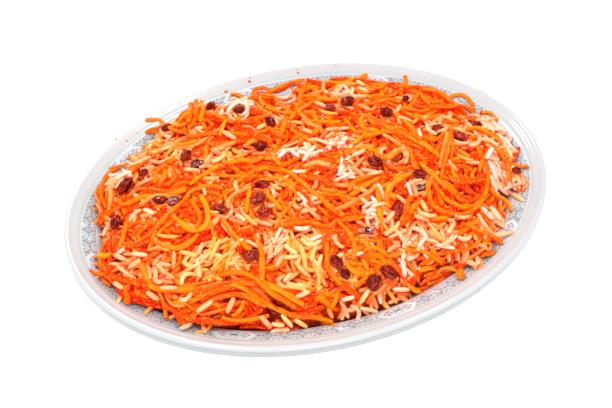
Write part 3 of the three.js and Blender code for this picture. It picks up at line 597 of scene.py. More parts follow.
# Strips that the picture shows, from lower to upper in each part of the heap. Each line is one
# strip: its colour (d deep, o orange, y golden, p pale), its width in pixels and its places.
STRIPS = {
    "upper_left": """
        o6 119,168 111,171 106,177 103,184 101,192 102,200 106,207
        p3.5 102,184 97,189 96,196 100,204
        p4 94,202 102,213
        p4 109,168 118,165 128,164
        p4 127,158 135,156 145,153 152,150
        y5 150,132 172,128
        p4.5 143,147 160,147 180,148 195,145 207,139
        o8 150,152 146,160 136,168 126,175
        o6 155,183 157,172 164,166 173,169 175,178 168,186
        o5 128,197 138,190 150,188 160,190 175,190 185,187
        o5 146,120 153,119 162,121 173,124 186,124
        o6 146,132 152,130 160,127 171,129 184,132
        o6 191,103 190,112 188,122
        o6 196,100 196,110 194,120 189,129
        o6 202,101 203,110 201,119 205,128
        o7 122,205 135,200 148,196 160,194 175,193 185,190
        p5 140,205 150,198 165,196 180,197
        y6 168,214 178,205 188,195 196,189 206,186 216,186 222,189
        y7 201,196 206,205 208,215 207,224 201,229 193,230 185,226 178,220 172,215
        o5 192,202 198,210 200,220 197,228
        d8 120,207 110,212 103,220 98,225
        d9 183,178 204,181
        d6 176,139 190,136 205,134 218,134
        o6 176,145 190,143 200,139
        p4 181,150 181,166
        o6 190,184 200,176 210,170 220,166
        o5 210,165 220,160""",
    "upper_middle": """
        o6 231,95 240,96 250,99 257,104 262,112
        o6 256,99 254,92 257,87 263,87 270,91 275,98 282,105 287,110
        o6 270,91 280,86 292,82 304,79
        d5 274,92 285,87 297,83 308,81
        o6 309,79 305,86 302,93 300,102 303,110
        o9 313,88 330,95
        o7 289,108 286,118 283,128 280,138 277,147
        o6 337,100 325,100 312,103 300,110 290,121
        o5 340,122 325,123 312,122 303,117 297,112
        p6 303,118 310,124 322,131
        o6 291,128 299,133 307,138 316,144 326,148
        y7 246,147 249,142 257,139 266,141 274,146 280,148
        o6 225,133 240,134 255,133 268,131
        d6 210,119 222,120 232,122 242,128
        o6 212,146 225,142 240,141
        p6 211,150 222,145 235,142
        o8 240,160 255,158 268,154 280,148 290,143 298,138
        o6 222,163 235,162 250,161 262,158
        y6 272,156 277,161 282,167
        o6 226,108 235,101
        o6 262,103 270,108 282,112 292,113
        o6 213,115 225,119 235,123
        y5 220,136 223,128 226,121
        d6 250,112 262,113 270,116
        d7 250,132 262,139 272,143
        d7 266,127 276,134 285,139
        o5 249,118 262,117 272,116""",
    "upper_right": """
        y6 330,81 342,82 352,78 362,76 367,75
        o5 362,79 366,76
        o7 345,88 360,84 375,87 383,88
        o6 372,84 380,86 387,83
        o5 405,76 406,83 402,88 401,95
        o6 400,87 410,86 419,86
        d6 352,103 365,100 380,98 392,96 403,89
        o7 356,109 366,104 378,101 390,99 400,102
        d5 336,113 360,112 378,114
        y6 360,119 362,126 368,129 378,131
        o6 395,112 403,118 410,125 416,133 421,138
        o5 383,125 392,127 400,128
        o7 366,138 372,134 382,131 392,131 402,133 412,138 422,143 432,150 439,158
        o6 385,127 397,130 410,134 420,140
        p5 383,134 392,138 400,143 407,148 412,156 416,165
        y8 401,150 392,155 383,157 377,155 378,150 385,146
        o7 408,148 412,158 418,170
        p5 447,133 444,145 441,158 440,168
        o6 451,127 449,140 446,152 444,162
        o6 455,107 448,99 440,93 430,89 420,89
        o6 404,112 412,103 420,92
        o6 420,93 425,100 430,108
        o6 404,109 415,110 430,108 445,106 458,107
        o6 450,97 457,94 464,95 469,99 473,105 473,113
        o6 430,107 443,106 455,106 465,109 474,114
        d8 465,120 475,118 483,112
        y5 483,113 488,111 493,114 497,120
        o7 466,130 472,128 480,129 487,132 494,135 499,140 502,146
        y7 485,143 495,147 502,153 508,159
        d6 519,147 516,153 513,160
        o6 508,165 516,165 524,166 528,168
        o6 497,152 503,158 508,165 509,175 510,182
        o6 489,147 486,155 481,163 480,172
        o5 450,126 452,135 449,145 446,158 443,168 441,178
        y5 468,136 475,135 479,138""",
    "right": """
        d5 421,282 431,279 441,275
        o5 414,289 422,285 431,281
        o4 428,283 436,279 444,275
        d5 434,277 444,273 454,270 462,268
        o5 428,278 438,273 447,272
        d6 444,268 456,266 466,264
        o6 487,168 488,180 486,192 480,202 470,208 458,209
        o6 429,178 428,190 431,202 438,209 450,213 463,213 475,208 483,200
        o7 421,163 430,172 440,181 449,188 456,196
        o6 440,192 446,199 455,203 463,207 472,207
        d9 455,185 465,188 472,195
        d8 450,178 461,182 472,184 481,182
        d7 456,197 467,201 478,197
        d7 487,203 495,209 505,217
        y5 491,190 497,197 503,202 508,207 511,211
        o6 481,210 485,217 490,224 492,230
        o7 463,225 475,228 485,233 495,239 502,243
        o7 480,254 488,253 495,251
        o5 443,253 455,252 466,250 474,246 480,240
        p4 460,262 470,257 478,252 485,249
        o6 424,276 434,272 444,269 454,268
        d6 420,282 432,277 442,274
        p5 437,273 443,268 450,267 457,269
        o6 432,251 438,256 443,262
        o6 389,257 400,253 412,251 424,252 434,257 442,263
        o5 405,262 412,270 418,280
        y5 407,284 413,290 421,291
        o6 378,275 376,268 381,263 389,262 396,266 402,273 406,280 404,286
        y8 346,267 354,272 364,275 373,272
        y7 363,258 366,265 368,270
        o6 371,277 363,281 355,287
        d8 337,283 348,290 360,298
        o6 327,243 327,255 329,266 334,276 341,285
        o7 338,290 336,300 331,309
        y5 322,321 330,323 336,325""",
    "front": """
        d6 205,325 225,326 245,326 265,324
        d6 240,325 260,324 280,325 300,324
        y8 246,274 258,281 270,287 280,291 296,300 303,304
        o7 180,292 195,285 210,279 225,275 240,272 252,276 262,284 272,294 283,302 296,308
        o6 190,303 203,295 217,288 232,285 246,289 258,298 270,307 283,313 300,318 320,321 332,323
        o6 195,312 207,303 219,297 233,293 246,297 257,303 268,308
        d5 203,292 218,286 232,283
        d7 182,316 195,321 210,322 225,320 240,321 252,317 262,311
        o7 200,320 215,322 230,320 244,313
        d5 196,321 215,323 235,323 255,321 270,317
        o5 222,318 240,321 258,319 272,313
        d5 262,323 280,323 296,321
        y5 232,315 240,312 244,303""",
    "middle": """
        o5 229,240 226,250 224,262 220,272
        o7 255,236 260,246 262,258 262,272 262,280
        o6 223,221 232,233 242,242 250,250
        o3.5 212,222 212,232 216,238 224,242 230,244
        y6 249,186 249,195 247,205 246,212
        p5 224,206 229,199 237,192 248,188
        o6 258,181 270,178 281,178 290,181 296,188 297,196 293,203 286,209 280,217 276,226
        y6 267,190 270,197 276,203 282,208
        o7 258,172 268,168 280,169 290,172 300,180 308,188 318,195 328,205 337,212 343,217
        d7 297,186 305,196 312,206
        o6 337,219 345,227 352,236 355,246 353,258
        o7 278,226 290,223 303,222 316,223 326,227
        y7 378,180 368,184 358,190 350,196
        p6 376,187 364,195 350,203 337,211
        y8 414,173 405,175 396,180 390,187 387,197 388,208
        y7 377,189 379,200 380,212 381,224 383,232
        o6 383,173 370,176 357,181 349,190
        o8 412,195 407,204 404,213 402,221
        o7 421,198 414,206 410,213
        p9 303,166 316,162 330,165
        d7 300,176 312,178 325,180 335,187
        y6 320,188 330,190 337,190
        o6 282,166 292,161 303,156""",
    "left": """
        d6 128,297 140,301 152,304 164,307
        d6 118,288 130,293 142,298 154,300
        y6 167,214 160,222 155,232 151,243 150,250
        y7 157,242 167,246 178,248 188,243 198,235
        d7 140,263 150,256 160,250
        o6 141,265 146,275 150,285 155,291
        d8 101,266 112,276 126,281 140,287
        d7 113,229 110,243 110,258 111,270
        y6 95,256 103,256 111,255
        o3 90,269 97,273 104,276
        o9 126,288 128,303
        d8 135,292 145,297 155,298
        o5 158,290 163,299 165,308 166,318
        d7 165,305 175,310 180,319 184,325
        o7 150,288 165,290 180,290 195,288
        o6 128,222 124,235 120,247
        o7 160,222 150,233 140,241 130,246
        d6 125,247 138,245 150,240""",
}

# Grains that stand out in the picture, by places along each.
GRAINS = """
    294,229 302,232 310,229 | 301,240 312,246 321,243 | 310,240 322,234 | 284,243 288,250 296,254
    282,273 277,282 278,289 284,294 | 276,268 283,256 | 296,297 310,294
    320,256 317,268 321,280 326,288 | 295,265 300,273 311,277 | 233,299 228,313 | 197,313 213,304
    198,254 203,244 | 384,233 393,230 400,222 | 386,222 394,212 | 374,194 374,205 376,212 366,218
    421,200 427,213 | 418,212 424,216 437,215 | 411,224 420,231 427,240 | 430,233 440,240
    435,245 455,251 | 335,234 337,244 343,250 | 388,252 393,246 400,244 | 419,247 424,240
    455,217 462,219 470,216 | 458,238 465,242 471,238 | 448,235 455,222 | 493,233 516,230
    512,190 524,201 | 466,262 478,266 | 477,256 478,266 | 478,214 484,226 | 482,207 492,222
    342,300 354,302 | 352,303 359,312 358,318 | 361,305 368,292 | 360,309 378,310
    388,303 405,297 | 393,294 409,291 | 402,262 405,279 | 448,158 452,165 458,171
    492,150 486,160 | 480,139 490,140 498,146 | 470,148 478,143 480,136 | 418,127 421,137
    428,114 423,125 | 357,82 364,86 | 350,98 370,94 | 329,145 345,144 | 321,85 329,98
    315,101 325,108 | 278,157 287,151 | 291,150 299,158 | 300,152 308,154 | 223,133 236,138
    257,130 266,123 | 304,130 311,134 | 308,142 310,148 | 123,172 132,177 | 131,217 140,211
    113,252 125,262 | 131,267 138,263 | 155,265 156,282 | 180,283 190,273 198,273
    114,284 123,290 | 160,289 178,288 | 180,300 184,302 191,294 | 132,255 147,255
    262,320 270,327 | 284,318 290,326 | 272,324 284,326 | 296,322 306,326 | 148,296 158,300"""

# Parts of the picture where rice shows: middle, half width and half height, and its kind.
RICE_PATCHES = {
    "left_gold": (215, 266, 35, 17, "gold"),
    "left_gold_top": (222, 244, 12, 8, "gold"),
    "bright": (303, 251, 20, 14, "gold"),
    "bright_low": (303, 276, 20, 15, "gold"),
    "bright_left": (272, 247, 13, 9, "cream"),
    "upper_left": (166, 148, 17, 12, "gold"),
    "upper_left_low": (148, 165, 13, 7, "tinted"),
    "upper_left_right": (228, 155, 15, 6, "gold"),
    "left_edge": (117, 179, 9, 8, "cream"),
    "in_the_bend": (308, 201, 11, 7, "cream"),
    "upper_middle": (300, 155, 21, 6, "white"),
    "upper_middle_right": (336, 144, 11, 5, "white"),
    "under_middle": (347, 172, 10, 7, "white"),
    "top_left": (241, 105, 11, 6, "white"),
    "far_loop": (287, 99, 12, 5, "cream"),
    "top": (344, 94, 9, 8, "white"),
    "right_top": (484, 129, 17, 11, "cream"),
    "right_edge": (501, 168, 15, 29, "white"),
    "right_low": (488, 221, 10, 13, "cream"),
    "low_right": (427, 241, 29, 11, "cream"),
    "low_right_edge": (470, 258, 16, 8, "tinted"),
    "standing": (408, 267, 8, 12, "white"),
    "bottom": (354, 307, 24, 8, "cream"),
    "bottom_right": (393, 298, 15, 7, "gold"),
    "left_side": (130, 268, 17, 13, "tinted"),
    "left_low": (163, 277, 10, 8, "tinted"),
    "middle": (241, 214, 8, 8, "tinted"),
    "middle_right": (375, 213, 8, 13, "white"),
}

# Crumbs on the platter's rim.
CRUMBS = [
    (115.5, 140, 1.2), (127, 141, 0.8), (138, 133, 0.5), (226, 92, 1.4), (249.5, 82, 1.3),
    (250, 78, 0.6), (298, 73.5, 1.0), (297, 70, 0.5), (335.6, 65.4, 0.5), (482, 92, 0.6),
    (487, 94, 0.6),
]


class Value:
    """A shader number, which plain arithmetic turns into Math nodes."""

    def __init__(self, tree, source):
        self.tree, self.source = tree, source

    def math(self, operation, *others):
        node = self.tree.nodes.new("ShaderNodeMath")
        node.operation = operation
        for socket, value in zip(node.inputs, (self, *others)):
            if isinstance(value, Value):
                self.tree.links.new(value.source, socket)
            else:
                socket.default_value = value
        return Value(self.tree, node.outputs[0])

    def __add__(self, other):
        return self.math("ADD", other)

    def __sub__(self, other):
        return self.math("SUBTRACT", other)

    def __mul__(self, other):
        return self.math("MULTIPLY", other)

    def __truediv__(self, other):
        return self.math("DIVIDE", other)

    def size(self):
        return self.math("ABSOLUTE")

    def above(self, level, soft):
        """0 below a level and 1 above it, with a soft step."""
        node = self.tree.nodes.new("ShaderNodeMapRange")
        node.interpolation_type = "SMOOTHSTEP"
        self.tree.links.new(self.source, node.inputs[0])
        for socket, value in zip(node.inputs[1:3], (level - soft, level + soft)):
            socket.default_value = value
        return Value(self.tree, node.outputs[0])

    def below(self, level, soft):
        return (self.above(level, soft) * -1) + 1

    def line(self, level, half, soft):
        """1 within half of a level and 0 away from it."""
        return (self - level).size().below(half, soft)

    def either(self, other):
        return self.math("MAXIMUM", other)


def new_material(name, roughness, **settings):
    """A material, its node tree and its Principled shader, with constant values set on it."""
    material = bpy.data.materials.new(name)
    material.use_nodes = True
    shader = material.node_tree.nodes["Principled BSDF"]
    shader.inputs["Roughness"].default_value = roughness
    for key, value in settings.items():
        shader.inputs[key.replace("_", " ")].default_value = value
    return material, material.node_tree, shader


def texture(tree, kind, scale, vector=None, **settings):
    """A texture in object places or along a given vector, as a Value."""
    node = tree.nodes.new(f"ShaderNodeTex{kind}")
    node.inputs["Scale"].default_value = scale
    for key, value in settings.items():
        node.inputs[key].default_value = value
    if vector is None:
        vector = tree.nodes.new("ShaderNodeTexCoord").outputs["Object"]
    tree.links.new(vector, node.inputs["Vector"])
    return Value(tree, node.outputs[0])


def attribute(tree, name, output="Fac"):
    node = tree.nodes.new("ShaderNodeAttribute")
    node.attribute_name = name
    return node.outputs[output]


def parts_of(tree, vector):
    node = tree.nodes.new("ShaderNodeSeparateXYZ")
    tree.links.new(vector, node.inputs[0])
    return [Value(tree, output) for output in node.outputs]


def scaled(tree, vector, scale):
    node = tree.nodes.new("ShaderNodeVectorMath")
    node.operation = "MULTIPLY"
    tree.links.new(vector, node.inputs[0])
    node.inputs[1].default_value = scale
    return node.outputs[0]


def mixed(tree, factor, first, second):
    """A colour between two, each a colour or a socket."""
    node = tree.nodes.new("ShaderNodeMix")
    node.data_type = "RGBA"
    tree.links.new(factor.source, node.inputs[0])
    for socket, colour in zip((node.inputs[6], node.inputs[7]), (first, second)):
        if isinstance(colour, tuple):
            socket.default_value = (*colour, 1)
        else:
            tree.links.new(colour, socket)
    return node.outputs[2]


def ramped(tree, factor, stops):
    """A colour by a number: stops are pairs of a number and a colour."""
    node = tree.nodes.new("ShaderNodeValToRGB")
    tree.links.new(factor.source, node.inputs[0])
    elements = node.color_ramp.elements
    while len(elements) < len(stops):
        elements.new(0.5)
    for element, (place, colour) in zip(elements, stops):
        element.position = place
        element.color = (*colour, 1)
    return node.outputs[0]


def bumped(tree, shader, height, strength, distance):
    node = tree.nodes.new("ShaderNodeBump")
    node.inputs["Strength"].default_value = strength
    node.inputs["Distance"].default_value = distance
    tree.links.new(height.source, node.inputs["Height"])
    tree.links.new(node.outputs[0], shader.inputs["Normal"])


def painted(tree, shader, colour, roughness=None):
    """Gives a shader its colour socket and, where it varies, its roughness."""
    tree.links.new(colour, shader.inputs["Base Color"])
    if roughness is not None:
        tree.links.new(roughness.source, shader.inputs["Roughness"])


def carrot_material(name, dark, plain, light):
    """Oily cooked carrot: lengthwise fibres, blotches, painted shade on the sides and deep in the
    heap, painted pinkish highlights and a wet sheen from the coat.
    """
    material, tree, shader = new_material(
        name, 0.34, Subsurface_Weight=0.2, Subsurface_Scale=0.0015,
        Subsurface_Radius=(1.0, 0.2, 0.03), Coat_Weight=0.15, Coat_Roughness=0.1,
        Specular_IOR_Level=0.0,
    )
    strand = attribute(tree, "strand", "Vector")
    _, around, _ = parts_of(tree, strand)
    # Painted shade: the strip's sides are coloured darker than its flat faces.
    side = (around - 0.5).size() * 2
    fibre = texture(tree, "Noise", 1.0, scaled(tree, strand, (70, 6, 1)), Detail=3.0)
    blotch = texture(tree, "Noise", 240.0, Detail=2.0)
    # The tint holds painted shade, darker deep in the heap.
    tint = Value(tree, attribute(tree, "tint"))
    shade = tint * 0.65 + fibre * 0.8 + blotch * 0.35 - side * 0.22 - 0.38
    colour = ramped(tree, shade, [(0.15, dark), (0.5, plain), (0.85, light)])
    # Painted highlight: pinkish specks mixed into the colour stand in for glints of light on the wet
    # strips.
    painted_highlight = texture(tree, "Noise", 800.0, Detail=3.0).above(0.58, 0.04)
    painted_highlight = painted_highlight * texture(tree, "Noise", 200.0, Detail=2.0).above(0.45, 0.1) * 0.6
    colour = mixed(tree, painted_highlight, colour, (1.0, 0.32, 0.07))
    painted(tree, shader, colour, blotch * 0.3 + 0.2)
    grain = texture(tree, "Noise", 1.0, scaled(tree, strand, (260, 26, 1)), Detail=4.0)
    grit = texture(tree, "Noise", 700.0, Detail=2.0)
    bumped(tree, shader, fibre * 0.8 + grain * 0.5 + grit * 0.6, 0.9, 0.0009)
    return material


def rice_material(name, shaded, plain, light):
    """Moist cooked rice, with a stain that follows the oil in patches, and painted shade from the
    tint, darker deep in the heap.
    """
    material, tree, shader = new_material(
        name, 0.32, Subsurface_Weight=0.3, Subsurface_Scale=0.0015,
        Subsurface_Radius=(1.0, 0.6, 0.35), Coat_Weight=0.3, Coat_Roughness=0.12,
        Specular_IOR_Level=0.1,
    )
    strand = attribute(tree, "strand", "Vector")
    tint = Value(tree, attribute(tree, "tint"))
    patch = texture(tree, "Noise", 70.0, Detail=3.0)
    streak = texture(tree, "Noise", 1.0, scaled(tree, strand, (70, 3, 1)), Detail=2.0)
    # The tint holds painted shade: grains deep in the heap take the darker, shaded end of the
    # colours.
    shade = tint * 0.75 + patch * 0.4 + streak * 0.3 - 0.28
    colour = ramped(tree, shade, [(0.15, shaded), (0.5, plain), (0.8, light)])
    painted(tree, shader, colour, patch * 0.3 + 0.2)
    fine = texture(tree, "Noise", 900.0, Detail=2.0)
    bumped(tree, shader, streak * 0.8 + fine * 0.3, 0.35, 0.0004)
    return material


def core_material():
    """What shows between the grains: oily rice in the shade, paler where rice lies bare."""
    material, tree, shader = new_material(
        "rice_in_shade", 0.45, Coat_Weight=0.1, Specular_IOR_Level=0.1,
        Subsurface_Weight=0.35, Subsurface_Scale=0.003, Subsurface_Radius=(1.0, 0.3, 0.08),
    )
    patch = texture(tree, "Noise", 90.0, Detail=4.0)
    grains = texture(tree, "Voronoi", 380.0)
    shade = patch * 0.8 + grains * 0.4 - 0.1
    # Painted shade: the core's dark red colours stand in for the shaded gaps between the grains.
    oily_in_shade = ramped(
        tree, shade,
        [(0.2, (1.0, 0.03, 0.001)), (0.5, (1.0, 0.08, 0.002)), (0.8, (1.0, 0.20, 0.02))],
    )
    pale = ramped(
        tree, shade,
        [(0.2, (1.0, 0.08, 0.003)), (0.5, (1.0, 0.17, 0.015)), (0.8, (1.0, 0.32, 0.07))],
    )
    colour = mixed(tree, Value(tree, attribute(tree, "bare")), oily_in_shade, pale)
    painted(tree, shader, colour, grains * 0.3 + 0.3)
    bumped(tree, shader, grains, 0.8, 0.0008)
    return material


def raisin_material():
    """Dark raisin skin: brown red, redder where it is thin, with painted shade in the folds and
    flecks of grey bloom.
    """
    material, tree, shader = new_material(
        "raisin_skin", 0.35, Coat_Weight=0.75, Coat_Roughness=0.05, Specular_IOR_Level=0.0,
        Subsurface_Weight=0.1, Subsurface_Scale=0.001, Subsurface_Radius=(1.0, 0.3, 0.1),
    )
    skin = attribute(tree, "skin", "Vector")
    blotch = texture(tree, "Noise", 260.0, Detail=3.0)
    wrinkle = texture(tree, "Noise", 1.0, scaled(tree, skin, (1.6, 5, 5)), Detail=3.0)
    fold = Value(tree, attribute(tree, "fold"))
    tone, bloom, _ = parts_of(tree, attribute(tree, "age", "Vector"))
    # Painted shade: the skin is coloured darker where it folds in.
    shade = blotch * 0.8 + wrinkle * 0.5 - fold * 0.7 + tone * 0.16 - 0.1
    colour = ramped(
        tree, shade,
        [(0.3, (0.035, 0.0002, 0.0001)), (0.5, (0.16, 0.0015, 0.0003)),
         (0.75, (0.48, 0.03, 0.002))],
    )
    flecks = texture(tree, "Noise", 700.0, Detail=3.0).above(0.56, 0.04)
    colour = mixed(tree, flecks * bloom, colour, (0.45, 0.38, 0.38))
    painted(tree, shader, colour, blotch * 0.4 + 0.15)
    bumped(tree, shader, wrinkle + blotch * 0.4, 0.5, 0.0004)
    return material


def speck_material():
    material, tree, shader = new_material("spice", 0.6)
    shade = texture(tree, "Noise", 2500.0, Detail=2.0)
    colour = ramped(tree, shade, [(0.3, (0.01, 0.006, 0.005)), (0.8, (0.09, 0.05, 0.035))])
    painted(tree, shader, colour)
    bumped(tree, shader, shade, 0.4, 0.0001)
    return material


# The platter's border: a lattice with nested lozenges, and a medallion in each gap.
MEDALLION_ANGLES = (0, 51, 90, 129, 180, 231, 270, 309, 360)
MEDALLION_HALF = (0.0079, 0.0028)
SECTOR_COLUMNS, ARC_STEPS, CAP_MARK = 32, 400, 0.1
SEGMENT_GAP, SEGMENT_NOTCH = 0.0084, 0.004
LOZENGE_LENGTH = 0.0094
LATTICE_DIAMONDS = [(1.0, 0.0, 0.2), (1.0, 0.60, 0.16), (0.66, 0.80, 0.16), (0.0, 0.80, 0.14)]
BAND_MIDDLE, BAND_HALF = (BAND_OUTER + BAND_INNER) / 2, (BAND_INNER - BAND_OUTER) / 2
PRINT_GREY, PRINT_RED = (0.006, 0.006, 0.007), (0.11, 0.004, 0.003)
PRINT_PINK, MEDALLION_RED = (0.22, 0.06, 0.06), (0.50, 0.03, 0.05)
PINK_STRENGTH, GREY_STRENGTH, RED_STRENGTH = 0.7, 0.72, 0.7


def border_lattice(along, across, start, half_sector):
    """The grey, pink and red lines of a lattice, by the place along a sector and across the band,
    from 0 in its middle to 1 at its edges."""
    periods = (half_sector - along) / LOZENGE_LENGTH
    a = (periods - periods.math("ROUND")).size() * 2
    diagonal = a + across
    slant = (a - across).size()
    dash = (slant * 20.0).math("COSINE").above(-0.1, 0.5)
    grey = diagonal.line(0.63, 0.10, 0.03) * (dash * 0.2 + 0.8)
    grey = grey.either(diagonal.line(0.35, 0.08, 0.03) * (dash * -0.4 + 0.9))
    for level in (0.0, 0.37, 0.63):
        grey = grey.either(diagonal.line(0.5, 0.08, 0.02) * slant.line(level, 0.07, 0.03))
    beyond = diagonal.above(1.0, 0.02)
    grey = grey.either(diagonal.line(1.22, 0.05, 0.03) * beyond * dash * 0.9)
    pink = diagonal.line(0.87, 0.05, 0.03).either(diagonal.line(1.03, 0.045, 0.03) * 0.8)
    pink = pink.either(diagonal.line(1.42, 0.03, 0.04) * 0.7)
    pink = pink.either(across.line(0.96, 0.03, 0.03)).either(across.line(0.82, 0.015, 0.03) * 0.5)
    edge = along - start
    pink = pink.either(edge.line(0.0003, 0.0001, 0.0001) * 0.9)
    grey = grey.either(edge.line(0.0010, 0.0001, 0.0001) * 0.8)
    red = diagonal.below(0.16, 0.04)
    for place, height, half in LATTICE_DIAMONDS:
        red = red.either(((a - place).size() + (across - height).size()).below(half, 0.05))
    return grey, pink, red


def medallion(from_middle, band):
    """A medallion's scalloped ring and its flower, by places from its middle."""
    x, y = from_middle / MEDALLION_HALF[0], band / MEDALLION_HALF[1]
    radius = (x * x + y * y).math("SQRT")
    angle = y.math("ARCTAN2", x)
    scallop = (angle * 4).math("COSINE").size() * 0.16 + 0.82
    tip = x.size().above(0.75, 0.2) * 0.1
    outline = radius / (scallop + tip)
    petals = (angle * 6).math("COSINE") * 0.12 + 0.34
    flower = (radius / petals).line(1.0, 0.2, 0.1) * 0.85
    leaves = ((x.size() - 0.62).size() * 2.2 + y.size() * 0.9).line(0.34, 0.08, 0.05) * 0.75
    flower = flower.either(leaves).either(radius.below(0.17, 0.05))
    return outline.line(0.97, 0.06, 0.05) * 0.9, flower * outline.below(0.9, 0.05)


def glaze(tree, inset, top):
    """The platter's white, cooler on the lip, with a cool cast that offsets the reddish light
    bounced from the food, painted shade underneath and on the lip's outer edge, and oil stains round
    the food.
    """
    stain_patch = texture(tree, "Noise", 26.0, Detail=3.0).above(0.47, 0.16)
    oil = inset.above(BAND_INNER + 0.001, 0.003) * (stain_patch * 0.8 + 0.1) * 0.45
    # The white's cool cast offsets the reddish light that the food bounces onto the platter.
    white = ramped(
        tree, texture(tree, "Noise", 14.0, Detail=2.0),
        [(0.3, (0.49, 0.57, 0.585)), (0.7, (0.52, 0.595, 0.61))],
    )
    lip = mixed(
        tree, inset.above(0.0075, 0.002), (0.495, 0.507, 0.51), (0.455, 0.505, 0.51)
    )
    white = mixed(tree, inset.below(BAND_OUTER - 0.0008, 0.0004), white, lip)
    # Painted shade: the underside and the lip's outermost edge take a greyer white, as though in
    # shadow.
    white = mixed(tree, top, (0.31, 0.32, 0.325), white)
    return mixed(tree, oil, white, (0.56, 0.43, 0.44))


def plate_material():
    """White melamine with a printed border and fine scratches."""
    material, tree, shader = new_material(
        "melamine", 0.2, Coat_Weight=0.4, Coat_Roughness=0.08, Specular_IOR_Level=0.5
    )
    from_medallion, inset, half_sector = parts_of(tree, attribute(tree, "border", "Vector"))
    band = inset - BAND_MIDDLE
    across = (band / BAND_HALF).size()
    along = from_medallion.size()
    start = (across * -SEGMENT_NOTCH) + (SEGMENT_GAP + SEGMENT_NOTCH)
    grey, pink, red = border_lattice(along, across, start, half_sector)
    ring, flower = medallion(from_medallion, band)

    top = inset.above(0.0005, 0.0002)
    colour = glaze(tree, inset, top)
    wear = texture(tree, "Noise", 160.0, Detail=4.0).above(0.34, 0.1)
    rule = inset.line(0.0073, 0.00012, 0.0002) * wear
    colour = mixed(tree, rule * 0.5, colour, (0.62, 0.30, 0.30))
    # Painted shade: a grey line along the groove at the foot of the lip's slope.
    colour = mixed(tree, inset.line(0.0066, 0.0001, 0.0003) * 0.3, colour, (0.25, 0.25, 0.26))
    medal = across.below(1.0, 0.03) * top
    printed = (along - start).above(0, 0.0002) * medal * wear
    for strength, tone in (
        (pink * printed * PINK_STRENGTH, PRINT_PINK), (grey * printed * GREY_STRENGTH, PRINT_GREY),
        (red * printed * RED_STRENGTH, PRINT_RED), (ring * medal, MEDALLION_RED),
        (flower * medal, PRINT_GREY),
    ):
        colour = mixed(tree, strength, colour, tone)
    smear = texture(tree, "Noise", 40.0, Detail=5.0)
    painted(tree, shader, colour, smear * 0.22 + 0.1)
    scratches = texture(tree, "Noise", 700.0, Detail=3.0)
    bumped(tree, shader, scratches * 0.3 + smear, 0.12, 0.0003)
    return material


def floor_material():
    material, tree, shader = new_material(
        "floor", 0.6, Emission_Color=(1, 1, 1, 1), Emission_Strength=0.45
    )
    shade = texture(tree, "Noise", 3.0, Detail=2.0)
    colour = ramped(tree, shade, [(0.3, (0.97, 0.97, 0.97)), (0.7, (0.985, 0.985, 0.985))])
    painted(tree, shader, colour)
    return material


CARROTS = {
    "d": carrot_material(
        "carrot_deep", (1.0, 0.010, 0.0002), (1.0, 0.050, 0.0003), (1.0, 0.14, 0.001)),
    "o": carrot_material(
        "carrot_orange", (1.0, 0.045, 0.0003), (1.0, 0.145, 0.0005), (1.0, 0.27, 0.002)),
    "y": carrot_material(
        "carrot_golden", (1.0, 0.10, 0.001), (1.0, 0.215, 0.002), (1.0, 0.34, 0.008)),
    "p": carrot_material(
        "carrot_pale", (1.0, 0.12, 0.008), (1.0, 0.25, 0.04), (1.0, 0.42, 0.16)),
}
RICES = {
    "white": rice_material(
        "rice_white", (1.0, 0.33, 0.09), (1.0, 0.50, 0.33), (1.0, 0.62, 0.53)),
    "cream": rice_material(
        "rice_cream", (1.0, 0.27, 0.05), (1.0, 0.45, 0.23), (1.0, 0.60, 0.46)),
    "gold": rice_material(
        "rice_gold", (1.0, 0.19, 0.008), (1.0, 0.38, 0.06), (1.0, 0.57, 0.26)),
    "tinted": rice_material(
        "rice_tinted", (1.0, 0.13, 0.015), (1.0, 0.29, 0.09), (1.0, 0.47, 0.24)),
}


